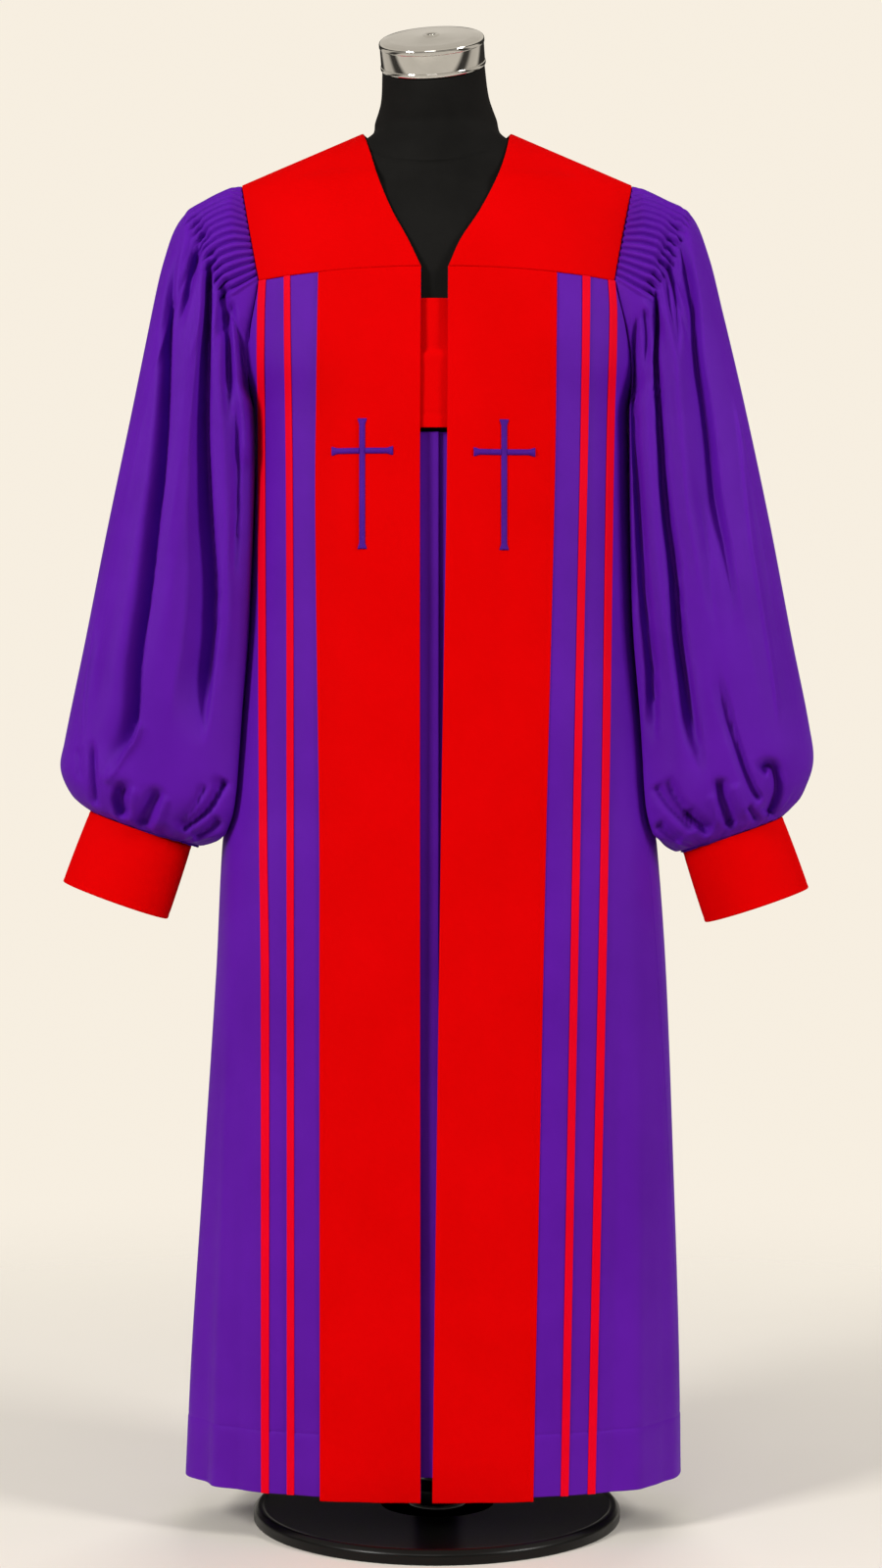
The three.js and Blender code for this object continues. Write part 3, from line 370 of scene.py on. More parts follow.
def capped_faces(rows, columns, inward=False):
    """Faces of a stack of rings with a fan at each end, to the two points that follow the rings."""
    faces = grid_faces(rows, columns, True).tolist()
    pole, last = rows * columns, (rows - 1) * columns
    for k in range(columns):
        following = (k + 1) % columns
        fans = [(pole, following, k), (pole + 1, last + k, last + following)]
        faces += [fan[::-1] if inward else fan for fan in fans]
    return faces


def shell(name, points, normals, thickness, wrap=False):
    """Closed thin shell: the cloth's outer face on the points, its inner face behind them."""
    inner = points - normals * thickness
    both = np.concatenate([points.reshape(-1, 3), inner.reshape(-1, 3)])
    faces = shell_faces(*points.shape[:2], wrap)
    return make_mesh(name, both, faces.tolist(), np.tile(cloth_uvs(points), (2, 1)))


def fix_direction(obj):
    """Turns the faces outwards, by the sign of the closed mesh's volume."""
    mesh = obj.data
    mesh.calc_loop_triangles()
    corners = np.empty(len(mesh.vertices) * 3)
    mesh.vertices.foreach_get("co", corners)
    corners = corners.reshape(-1, 3)
    triangles = np.empty(len(mesh.loop_triangles) * 3, np.int32)
    mesh.loop_triangles.foreach_get("vertices", triangles)
    a, b, c = corners[triangles.reshape(-1, 3)].transpose(1, 0, 2)
    if np.einsum("ij,ij->i", a, np.cross(b, c)).sum() < 0:
        mesh.flip_normals()
    mesh.polygons.foreach_set("use_smooth", [True] * len(mesh.polygons))
    mesh.update()


def finish_piece(obj, material, node):
    obj.data.materials.clear()
    obj.data.materials.append(material)
    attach(obj, "root")
    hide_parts(node)


# ---- Creases ----
def path_distance(points, path):
    """Distance of each point from a path in the x-z plane, the share of the path there, and side."""
    flat = points[..., [0, 2]]
    path = np.asarray(path, float)
    steps = np.linalg.norm(np.diff(path, axis=0), axis=1)
    starts = np.concatenate([[0], np.cumsum(steps)])
    best = np.full(flat.shape[:-1], np.inf)
    share = np.zeros(flat.shape[:-1])
    hand = np.zeros(flat.shape[:-1])
    for k, step in enumerate(steps):
        along = (path[k + 1] - path[k]) / step
        offset = flat - path[k]
        s = np.clip(offset @ along, 0, step)
        apart = offset - s[..., None] * along
        distance = np.linalg.norm(apart, axis=-1)
        nearer = distance < best
        best = np.where(nearer, distance, best)
        share = np.where(nearer, (starts[k] + s) / starts[-1], share)
        hand = np.where(nearer, offset[..., 0] * along[1] - offset[..., 1] * along[0], hand)
    return best, share, hand


def smooth_path(path, steps=24):
    path = np.asarray(path, float)
    if len(path) < 3:
        return path
    table = np.concatenate([np.arange(len(path))[:, None], path], axis=1)
    at = np.linspace(0, len(path) - 1, steps)
    return np.stack([curve(table, 1, at), curve(table, 2, at)], axis=1)


def crease(points, path, depth, width, top=0.12, foot=0.25, sharp=1.6):
    """Height of one fold along a path: it grows in over its top share and dies over its foot.

    The width is one number, or for a fold that is steeper on one side: the width left of a path
    that runs down at its top and at its foot, and the width right of it. Sharp 0 is an even slope,
    and below 0 it hollows out towards the path.
    """
    distance, share, hand = path_distance(points, smooth_path(path))
    taper = 1.0
    if top > 0:
        taper = taper * ease(share, 0, top)
    if foot > 0:
        taper = taper * ease(1 - share, 0, foot)
    if isinstance(width, tuple):
        start, end, right = width
        width = np.where(hand > 0, start + (end - start) * share, right)
    if sharp <= 0:
        return depth * taper * np.clip(1 - distance / width, 0, 1) ** (1 - sharp)
    return depth * taper * np.exp(-(distance / width) ** sharp)


def spaced(length, step, fine_low=True, fine_high=True):
    """Shares from 0 to 1 about a step apart, closer together where an edge turns under."""
    close = [0, 0.35, 0.8, 1.4, 2.2, 3.4, 5.0]
    low = close if fine_low else [0]
    high = close if fine_high else [0]
    count = max(int(round((length - low[-1] - high[-1]) / step)), 2)
    middle = np.linspace(low[-1], length - high[-1], count + 1)
    places = np.concatenate([low[:-1], middle, length - np.array(high[:-1])[::-1]])
    return places / length


def turn_under(points, normals, distance, radius=1.4, drop=0.9):
    """Rounds an edge: within the radius of it the cloth curls in behind its face."""
    inside = np.clip(1 - distance / radius, 0, 1)
    return points - normals * (drop * (1 - np.sqrt(1 - 0.98 * inside**2)))[..., None]


def edge_distances(points):
    """Distance of each point of a grid from its first and last column and first and last row."""
    across = np.linalg.norm(np.diff(points, axis=1), axis=2)
    down = np.linalg.norm(np.diff(points, axis=0), axis=2)
    side = np.concatenate([np.zeros((len(points), 1)), np.cumsum(across, axis=1)], axis=1)
    fall = np.concatenate([np.zeros((1, points.shape[1])), np.cumsum(down, axis=0)], axis=0)
    return side, side[:, -1:] - side, fall, fall[-1:] - fall


# ---- Materials ----
def new_material(name):
    material = bpy.data.materials.new(name)
    material.use_nodes = True
    tree = material.node_tree
    return material, tree, tree.nodes["Principled BSDF"]


def add_node(tree, kind, **values):
    node = tree.nodes.new(kind)
    for key, value in values.items():
        if hasattr(node, key):
            setattr(node, key, value)
        else:
            node.inputs[key.replace("_", " ")].default_value = value
    return node


def link(tree, source, output, target, socket):
    tree.links.new(source.outputs[output], target.inputs[socket])


def fill_ramp(ramp, stops):
    """Gives a colour ramp its stops, in order: place and colour."""
    elements = ramp.color_ramp.elements
    for place, colour in stops[1:-1]:
        elements.new(place)
    for element, (place, colour) in zip(elements, stops):
        element.position = place
        element.color = (*colour, 1)


def cloud_node(tree, scale, detail, **values):
    """Noise in the object's own space."""
    place = add_node(tree, "ShaderNodeTexCoord")
    cloud = add_node(tree, "ShaderNodeTexNoise", Scale=scale, Detail=detail, **values)
    link(tree, place, "Object", cloud, "Vector")
    return cloud


def shade(tree, low, high, scale):
    """A slow mottled mix of two colours."""
    ramp = add_node(tree, "ShaderNodeValToRGB")
    fill_ramp(ramp, [(0.35, low), (0.65, high)])
    link(tree, cloud_node(tree, scale, 3.0, Roughness=0.55), "Fac", ramp, "Fac")
    return ramp


def vary_roughness(tree, cloud, surface, low, high):
    rough = add_node(tree, "ShaderNodeMapRange", To_Min=low, To_Max=high)
    link(tree, cloud, "Fac", rough, "Value")
    link(tree, rough, "Result", surface, "Roughness")


def bump_node(tree, source, output, strength, distance, under=None):
    """Bump from a height in metres, over an earlier bump where there is one."""
    bump = add_node(tree, "ShaderNodeBump", Strength=strength, Distance=distance)
    link(tree, source, output, bump, "Height")
    if under:
        link(tree, under, "Normal", bump, "Normal")
    return bump


def scaled_sum(tree, first, factor, second, output):
    """The first texture times a factor, plus the second one's output."""
    total = add_node(tree, "ShaderNodeMath", operation="MULTIPLY_ADD")
    link(tree, first, "Fac", total, 0)
    total.inputs[1].default_value = factor
    link(tree, second, output, total, 2)
    return total


def weave_height(tree, pitch, turn):
    """Height of a fine twill: slanting ribs along the cloth's own grain, crossed by its weft."""
    place = add_node(tree, "ShaderNodeUVMap", uv_map="cloth")
    grain = add_node(tree, "ShaderNodeMapping")
    grain.inputs["Rotation"].default_value = (0, 0, math.radians(turn))
    link(tree, place, "UV", grain, "Vector")
    ribs = add_node(tree, "ShaderNodeTexWave", bands_direction="X", Scale=1 / pitch / 3.1,
                    Distortion=0.6, Detail=1.0)
    weft = add_node(tree, "ShaderNodeTexWave", bands_direction="Y", Scale=1 / pitch / 2.2,
                    Distortion=0.4, Detail=1.0)
    slub = add_node(tree, "ShaderNodeTexNoise", Scale=420.0, Detail=2.0)
    for texture in (ribs, weft, slub):
        link(tree, grain, "Vector", texture, "Vector")
    return scaled_sum(tree, slub, 0.8, scaled_sum(tree, weft, 0.6, ribs, "Fac"), "Value")


SOFT_RELIEF = 0.0012  # metres, of the cloth's slow unevenness


def cloth_material(name, low, high, sheen_colour, sheen, roughness, gloss,
                   pitch=0.00055, turn=28.0, relief=0.00012):
    """Smooth matt twill with a soft sheen: colour, roughness and relief vary over it."""
    material, tree, surface = new_material(name)
    link(tree, shade(tree, low, high, 9.0), "Color", surface, "Base Color")
    patches = cloud_node(tree, 26.0, 4.0)
    vary_roughness(tree, patches, surface, roughness - 0.05, roughness + 0.07)
    weave = bump_node(tree, weave_height(tree, pitch, turn), "Value", 0.35, relief)
    soft = bump_node(tree, patches, "Fac", 0.25, SOFT_RELIEF, weave)
    link(tree, soft, "Normal", surface, "Normal")
    surface.inputs["Specular IOR Level"].default_value = gloss
    surface.inputs["Sheen Weight"].default_value = sheen
    surface.inputs["Sheen Roughness"].default_value = 0.4
    surface.inputs["Sheen Tint"].default_value = (*sheen_colour, 1)
    return material


def metal_material():
    """Polished chrome plate, a little uneven in colour and polish."""
    material, tree, surface = new_material("cap_chrome_plate")
    vary_roughness(tree, cloud_node(tree, 60.0, 3.0), surface, 0.03, 0.12)
    colour = shade(tree, (0.74, 0.72, 0.68), (0.82, 0.80, 0.76), 30.0)
    link(tree, colour, "Color", surface, "Base Color")
    surface.inputs["Metallic"].default_value = 1.0
    return material


def black_material(name, low, high, roughness, relief, scale, gloss, coat=0.0):
    """A near-black surface with a fine grain."""
    material, tree, surface = new_material(name)
    link(tree, shade(tree, low, high, 14.0), "Color", surface, "Base Color")
    grain = cloud_node(tree, scale, 3.0)
    link(tree, bump_node(tree, grain, "Fac", 0.4, relief), "Normal", surface, "Normal")
    vary_roughness(tree, grain, surface, roughness - 0.05, roughness + 0.08)
    surface.inputs["Specular IOR Level"].default_value = gloss
    surface.inputs["Coat Weight"].default_value = coat
    return material


PURPLE = cloth_material("purple_twill", (0.093, 0.0052, 0.315), (0.106, 0.0070, 0.355),
                        (0.6, 0.2, 1.0), sheen=0.05, roughness=0.5, gloss=0.07)
RED = cloth_material("red_twill", (0.655, 0.0, 0.0), (0.695, 0.0, 0.0005),
                     (1.0, 0.02, 0.02), sheen=0.02, roughness=0.7, gloss=0.015)
RIBBON = cloth_material("ribbon_satin", (0.74, 0.0, 0.012), (0.80, 0.0005, 0.016),
                        (1.0, 0.1, 0.1), sheen=0.01, roughness=0.5, gloss=0.03,
                        pitch=0.0004, turn=0.0)
THREAD = cloth_material("embroidery_thread", (0.058, 0.0052, 0.225), (0.080, 0.0075, 0.29),
                        (0.6, 0.25, 1.0), sheen=0.0, roughness=0.45, gloss=0.08,
                        pitch=0.0005, turn=90.0, relief=0.0002)
JERSEY = black_material("form_jersey", (0.0056, 0.0053, 0.0048), (0.0084, 0.0080, 0.0073),
                        0.8, 0.0003, 900.0, gloss=0.07)
CHROME = metal_material()
LACQUER = black_material("base_lacquer", (0.0016, 0.0015, 0.0012), (0.0028, 0.0026, 0.0022),
                         0.3, 0.00008, 500.0, gloss=0.2, coat=0.03)

# ---- Front surface, with the cloth's soft unevenness ----
# Slow waves across the fronts: pitch and slant along the height, height, phase.
FRONT_WAVES = [(61.0, 0.035, 0.55, 0.4), (97.0, -0.021, 0.7, 2.1), (37.0, 0.012, 0.3, 4.0)]
# Soft folds of the fronts below the hip: x at the top and hem, height, half width, top height.
FRONT_FOLDS = [
    (-205, -222, 3.2, 9, 760), (-188, -200, -2.6, 8, 700), (-232, -240, -2.4, 9, 560),
    (186, 176, -2.2, 8, 760), (204, 200, 2.6, 9, 640), (-60, -66, 0.9, 22, 900),
    (52, 44, 1.0, 24, 820),
]


def front_waver(x, z):
    """How far the fronts stand proud of their even form."""
    total = 0.0
    for pitch, slant, height, phase in FRONT_WAVES:
        total = total + height * np.sin((x + slant * z) * 2 * np.pi / pitch + phase)
    total = total * ease(YOKE_CENTRE_HEIGHT - z, 5, 160)
    for top_x, foot_x, height, width, top in FRONT_FOLDS:
        share = np.clip((top - z) / (top - HEM_HEIGHT), 0, 1)
        middle = top_x + (foot_x - top_x) * share
        total = total + height * ease(share, 0, 0.7) * bell(x - middle, width)
    return total


def front_surface(x, z):
    """Points on the fronts at x and height z; below the hem the surface goes straight down."""
    x, z = np.broadcast_arrays(np.asarray(x, float), np.asarray(z, float))
    held = np.maximum(z, HEM_HEIGHT)
    points = front_point(x, held)
    step = 0.5
    across = front_point(x + step, held) - front_point(x - step, held)
    down = front_point(x, held - step) - front_point(x, held + step)
    normals = unit(np.cross(across, down))
    normals = np.where((normals[..., 1] < 0)[..., None], normals, -normals)
    points = points + normals * front_waver(x, held)[..., None]
    points[..., 2] += z - held
    return points, normals


def front_line(side, column, z):
    return curve(FRONT_LINES[side], column, z)


HEM_STITCH = 110.0  # height of the hem's stitch line
STITCH_ROWS = HEM_STITCH + np.array([-2.4, -1.0, 0.0, 1.0, 2.4])


def panel_rows(step=7.0):
    """Nominal heights of a panel's rows, from the yoke seam to the hem."""
    length = YOKE_CORNER_HEIGHT - HEM_HEIGHT
    rows = YOKE_CORNER_HEIGHT - spaced(length, step) * length
    rows = rows[np.abs(rows - HEM_STITCH) > 4]
    return np.sort(np.concatenate([rows, STITCH_ROWS]))[::-1]


def seam_bow(x, z):
    """How far a row near the yoke seam is lifted, so that the top row follows the seam."""
    top = yoke_seam_height(x) - SEAM_GAP / 2
    return (top - YOKE_CORNER_HEIGHT) * (1 - ease(YOKE_CORNER_HEIGHT - z, 0, SEAM_BOW))


def hem_relief(z):
    """The hem is turned up to the stitch line: double below it, drawn in along it."""
    return 0.35 * ease(HEM_STITCH - z, 0, 3) - 0.5 * bell(z - HEM_STITCH, 1.1)


def round_edges(points, normals, edges=(0, 1, 2, 3), radius=1.3, drop=0.7):
    distances = edge_distances(points)
    for edge in edges:
        points = turn_under(points, normals, distances[edge], radius, drop)
    return points


def build_front(side):
    rows = panel_rows()
    z = rows[:, None]
    edge, outer = front_line(side, EDGE, rows), front_line(side, OUTER_OUT, rows)
    near = spaced(160, 4.0, True, False)[None, :]
    far = spaced(150, 4.5, False, True)[None, 1:]
    x_near = edge[:, None] + (outer - edge)[:, None] * near
    start = angle_at(outer, rows)[:, None]
    angle = start + (seam_angle(side, rows)[:, None] - start) * far
    power = 2 / curve(BODY_SECTIONS, 5, rows)[:, None]
    x_far = side * reach(side, rows)[:, None] * np.abs(np.sin(angle)) ** power
    points = np.concatenate([
        front_point(x_near, z + seam_bow(x_near, z)),
        body_point(side, angle, z + seam_bow(x_far, z)),
    ], axis=1)
    normals = facing(points, away(points))
    x = np.concatenate([x_near, x_far], axis=1)
    fade = np.concatenate([np.ones(near.shape), 1 - ease(far, 0.7, 1.0)], axis=1)
    shift = front_waver(x, points[..., 2]) * fade + hem_relief(points[..., 2])
    points = points + normals * shift[..., None]
    normals = facing(points, away(points))
    points = round_edges(points, normals)
    return shell(f"visual_front_{SIDE_NAMES[side]}", points, normals, CLOTH)


# Soft folds of the back panel below the yoke: angle, height, half width, top and foot heights.
BACK_FOLDS = [
    (-172, 2.6, 4.5, 1250, 700), (-161, -2.2, 4.0, 1250, 860), (-150, 3.0, 4.5, 1246, 620),
    (-129, 2.4, 4.0, 1240, 800), (-108, -2.4, 5.0, 1180, 420), (-98, 2.2, 5.0, 1100, 300),
    (178, -3.2, 4.5, 1252, 560), (168, 2.4, 4.0, 1250, 760), (153, -2.6, 4.5, 1250, 500),
    (144, 2.8, 4.0, 1248, 700), (126, -2.4, 4.5, 1236, 820), (108, 2.6, 5.0, 1160, 380),
]


def build_back():
    rows = panel_rows()
    z = rows[:, None]
    left, right = -seam_angle(LEFT, rows), seam_angle(RIGHT, rows)
    above = rows > UNDERARM_HEIGHT
    start = np.where(above, np.pi + left, -left)
    end = np.where(above, np.pi - right, right)
    share = spaced(520, 5.2)[None, :]
    turned = start[:, None] + (2 * np.pi - start - end)[:, None] * share
    on_left = turned < np.pi
    angle = np.where(on_left, turned, 2 * np.pi - turned)
    power = 2 / curve(BODY_SECTIONS, 5, rows)[:, None]
    wide = np.where(on_left, -reach(LEFT, rows)[:, None], reach(RIGHT, rows)[:, None])
    x = wide * np.abs(np.sin(angle)) ** power
    height = z + seam_bow(x, z)
    points = np.where(on_left[..., None], body_point(LEFT, angle, height),
                      body_point(RIGHT, angle, height))
    normals = facing(points, away(points))
    degrees = np.where(on_left, -np.degrees(angle), np.degrees(angle))
    shift = hem_relief(points[..., 2])
    for middle, depth, width, top, foot in BACK_FOLDS:
        apart = (degrees - middle + 180) % 360 - 180
        wander = 1.6 * np.sin(points[..., 2] / 170 + middle)
        alive = ease(top - points[..., 2], 0, 60) * ease(points[..., 2] - foot, -160, 260)
        shift = shift + depth * alive * bell(apart + wander, width)
    points = points + normals * shift[..., None]
    normals = facing(points, away(points))
    points = round_edges(points, normals)
    return shell("visual_back", points, normals, CLOTH)


# ---- Yokes ----
def shoulder_height(x):
    share = (np.abs(x) - NECK_POINT[0]) / (SHOULDER_TIP[0] - NECK_POINT[0])
    return NECK_POINT[1] + (SHOULDER_TIP[1] - NECK_POINT[1]) * share


def yoke_waver(x, z):
    """The yokes lie smooth over the shoulders, with a faint swell and drag lines to the neck."""
    swell = 0.5 * np.sin(x / 23 + z / 61) + 0.4 * np.sin(x / 41 - z / 33 + 1.0)
    return swell * ease(1416 - z, 14, 60)


def build_front_yoke(side):
    drop = spaced(130, 3.5)[:, None]
    across = spaced(150, 4.0)[None, :]
    neck_x = curve(NECKLINE[side], 1, drop)
    neck_z = curve(NECKLINE[side], 2, drop)
    seam_z = SHOULDER_TIP[1] + (YOKE_CORNER_HEIGHT - SHOULDER_TIP[1]) * drop
    x = neck_x + (armhole_reach(side, seam_z) - SEAM_GAP / 2 - neck_x) * across
    flat = neck_z + (seam_z - neck_z) * across
    foot = YOKE_CENTRE_HEIGHT + (YOKE_CORNER_HEIGHT - YOKE_CENTRE_HEIGHT) * across
    z = flat + (yoke_seam_height(x) - foot) * drop + np.where(drop >= 1, SEAM_GAP / 2, 0)
    points = front_point(side * x, z)
    ridge = np.stack([side * x, np.full(x.shape, -SEAM_GAP / 2), shoulder_height(x)], axis=-1)
    points = np.where((drop <= 0)[..., None], ridge, points)
    points = soften_shoulder(points, drop)
    normals = facing(points, away(points))
    points = points + normals * (yoke_waver(side * x, z) * ease(drop, 0.05, 0.3))[..., None]
    normals = facing(points, away(points))
    points = round_edges(points, normals, (1,))
    points = round_edges(points, normals, (3,), 2.0, 1.3)
    points = round_edges(points, normals, (0,), 3.0, 1.2)
    return shell(f"visual_yoke_front_{SIDE_NAMES[side]}", points, normals, CLOTH)


def soften_shoulder(points, drop):
    """Rounds the rows just under the shoulder ridge, so that the cloth rolls over it."""
    near = int(np.searchsorted(drop[:, 0], 0.16))
    ridge, end = points[0], points[near]
    tangent = points[near + 1] - points[near - 1]
    reach_down = np.linalg.norm(end - ridge, axis=-1, keepdims=True)
    leave = unit(np.array([0.0, np.sign(end[0, 1] or -1), 0.0]) + 0.25 * unit(end - ridge)) * reach_down
    arrive = unit(tangent) * reach_down
    result = points.copy()
    for row in range(1, near):
        s = drop[row, 0] / drop[near, 0]
        result[row] = (
            (2 * s**3 - 3 * s**2 + 1) * ridge + (s**3 - 2 * s**2 + s) * leave
            + (3 * s**2 - 2 * s**3) * end + (s**3 - s**2) * arrive
        )
    return result


def build_back_yoke():
    drop = spaced(140, 4.0)[:, None]
    across = (2 * spaced(380, 4.5) - 1)[None, :]
    neck_share = NECK_POINT[0] / SHOULDER_TIP[0]
    seam_z = SHOULDER_TIP[1] + (YOKE_CORNER_HEIGHT - SHOULDER_TIP[1]) * drop
    x = across * (armhole_reach(LEFT, seam_z) - SEAM_GAP / 2)
    top_x = np.abs(across) * SHOULDER_TIP[0]
    in_neck = np.abs(across) < neck_share
    dip = (NECK_POINT[1] - BACK_NECK_HEIGHT) * np.cos(np.pi / 2 * top_x / NECK_POINT[0])
    top_z = np.where(in_neck, NECK_POINT[1] - dip, shoulder_height(top_x))
    lift = np.where(drop >= 1, SEAM_GAP / 2, 0)
    z = top_z + (yoke_seam_height(x) - top_z) * drop + lift
    angle = np.pi - angle_at(x, z)
    points = np.where((x < 0)[..., None], body_point(LEFT, angle, z), body_point(RIGHT, angle, z))
    ridge = np.stack([x, np.full(x.shape, SEAM_GAP / 2), z], axis=-1)
    points = np.where(((drop <= 0) & ~in_neck)[..., None], ridge, points)
    softened = soften_shoulder(points, drop)
    points = np.where(in_neck[..., None], points, softened)
    normals = facing(points, away(points))
    points = points + normals * (yoke_waver(x, z) * ease(drop, 0.05, 0.3))[..., None]
    normals = facing(points, away(points))
    points = round_edges(points, normals, (0, 1, 3))
    return shell("visual_yoke_back", points, normals, CLOTH)


# ---- Sleeves and cuffs ----
FLUTE_STEPS = 6  # columns to each flute
UNDERARM_STEPS = 45

# As seen against the shoulder plane: x, z along each fold of the sleeve's front; then its height
# (a trough is negative), half width or widths, shares over which it grows in and dies away, and
# how sharp it is.
SLEEVE_CREASES = {
    LEFT: [
        ([(-257, 1324), (-266, 1286), (-271, 1240), (-273, 1173), (-275, 1117), (-279, 1061),
          (-283, 1031), (-288, 985), (-295, 930), (-303, 877), (-305, 834), (-310, 803),
          (-322, 782), (-339, 752)], -25.0, (6.0, 38.0, 3.0), 0.2, 0.12, -0.7),
        ([(-252, 1300), (-256, 1240), (-258, 1173), (-265, 1061), (-272, 985), (-277, 930),
          (-283, 877), (-285, 834)], 5.0, 12.0, 0.2, 0.3, 2.0),
        ([(-233, 1290), (-234, 1195), (-235, 1117), (-233, 1061), (-230, 1000)],
         -31.0, (3.0, 26.0, 4.0), 0.1, 0.25, -0.1),
        ([(-234, 1075), (-230, 1010), (-226.5, 954), (-229, 892), (-236, 831), (-243, 785)],
         -29.0, (22.0, 38.0, 4.0), 0.25, 0.3, 0),
        ([(-246, 1302), (-254, 1272), (-258, 1235), (-260, 1200)], -9.0, 4.0, 0.1, 0.6, 1.6),
        ([(-239, 1282), (-243, 1222), (-250, 1190), (-259, 1172)], 4.0, 3.5, 0.1, 0.5, 1.8),
        ([(-222, 1226), (-220, 1150), (-218, 1096), (-216, 1039), (-212, 951), (-216, 880),
          (-224, 815)], 6.0, 8.0, 0.15, 0.35, 1.8),
        ([(-214, 1240), (-213, 1200), (-214, 1150), (-214, 1110)], -15.0, 4.2, 0.1, 0.5, 1.5),
        ([(-209, 1240), (-203, 1173), (-197, 1121), (-196, 1092), (-198, 1070)],
         8.0, 5.5, 0.12, 0.15, 2.0),
        ([(-218, 1262), (-216, 1232), (-222, 1200)], -11.0, 3.6, 0.1, 0.5, 1.5),
        ([(-212, 1246), (-206, 1222), (-199, 1190), (-192, 1150)], -11.0, 3.4, 0.1, 0.5, 1.5),
        ([(-202, 1150), (-203, 1080), (-205, 1000), (-208, 930)], -7.0, (6.0, 9.0, 3.0), 0.3, 0.5, 0),
        ([(-262, 1314), (-266, 1278), (-277, 1213), (-289, 1176), (-293, 1154)],
         2.5, 2.6, 0.2, 0.3, 1.8),
        ([(-346, 930), (-356, 880), (-361, 840), (-364, 780)], 4.0, 3.0, 0.3, 0.3, 1.8),
        ([(-336, 940), (-347, 880), (-354, 830)], -6.0, (14.0, 14.0, 5.0), 0.4, 0.4, 1.6),
    ],
    RIGHT: [
        ([(206, 1235), (202, 1200), (202, 1150), (203.5, 1110), (207, 1061), (209, 1031),
          (215, 939), (222, 877), (224, 831), (223, 785)], -20.0, (4.0, 12.0, 3.0), 0.08, 0.15, 0),
        ([(224, 1262), (225, 1230), (225, 1190), (228, 1145), (232, 1089), (237, 1031), (246, 970),
          (251, 908), (255, 877), (260, 846), (264, 816), (270, 785), (271, 748)],
         -29.0, (2.6, 18.0, 3.0), 0.06, 0.2, 0),
        ([(248, 1312), (256, 1278), (262, 1244), (265, 1202), (268, 1173), (273, 1145), (279, 1103),
          (286, 1040), (296, 990), (302, 940), (302, 885)], -18.5, (12.0, 45.0, 8.0), 0.1, 0.4, -0.5),
        ([(285, 872), (296, 834), (309, 791), (318, 763), (327, 742), (335, 734)],
         -11.0, (14.0, 9.0, 4.0), 0.4, 0.05, -0.3),
        ([(212, 1200), (213, 1117), (219, 1031), (228, 939), (238, 877), (243, 831), (245, 790)],
         4.0, 8.0, 0.2, 0.3, 2.0),
        ([(240, 1270), (244, 1190), (249, 1117), (257, 1031), (268, 969), (273, 908)],
         4.0, 9.0, 0.2, 0.3, 2.0),
        ([(304, 1156), (309, 1117), (317, 1045), (323, 993), (332, 939), (342, 877), (348, 834),
          (350, 800)], 3.0, 2.6, 0.15, 0.15, 1.8),
        ([(192, 1180), (190, 1130), (193, 1076), (196, 1019), (200, 961), (204, 910)],
         -8.0, (5.0, 7.0, 3.0), 0.2, 0.3, 0),
        ([(236, 1290), (243, 1262), (246, 1225), (246, 1180)], -11.0, 3.6, 0.1, 0.5, 1.6),
        ([(212, 1236), (215, 1205), (214, 1170)], -9.0, 3.2, 0.1, 0.5, 1.6),
        ([(262, 1080), (275, 1010), (284, 930), (292, 880)], -4.0, 6.0, 0.3, 0.4, 1.8),
    ],
}
VIEW_DISTANCE = 3110.0  # from the camera to the shoulder plane
VIEW_HEIGHT = 900.0
BODY_CLEARANCE = 1.6  # between a sleeve's inner side and the body
SLEEVE_INSIDE = (280.0, -10.0, 950.0)  # a place inside the right sleeve
# How round the inner half of each ring is: below 1 it is squarer, against the body.
RING_POWERS = [0.9, 0.8, 0.75, 0.7, 0.7, 0.7, 0.7, 0.7, 0.75, 0.9]
FOLD_LIMITS = (-34, 12)  # of the main folds together
RELIEF_LIMITS = (-20, 10)  # of flutes, gathers and drapes together
BACK_SHARE = 0.85  # the folds at the back are this much as deep
INNER_SIDE = 188.0  # angle of the sleeve's inner side, where the folds are calmer
CALMED = 0.85
GATHER_COUNT = 26
ALLOWANCE = 4.0  # how far a sleeve's seam allowances reach
ALLOWANCE_DEPTH = 1.4  # how far they lie below the sleeve's edge

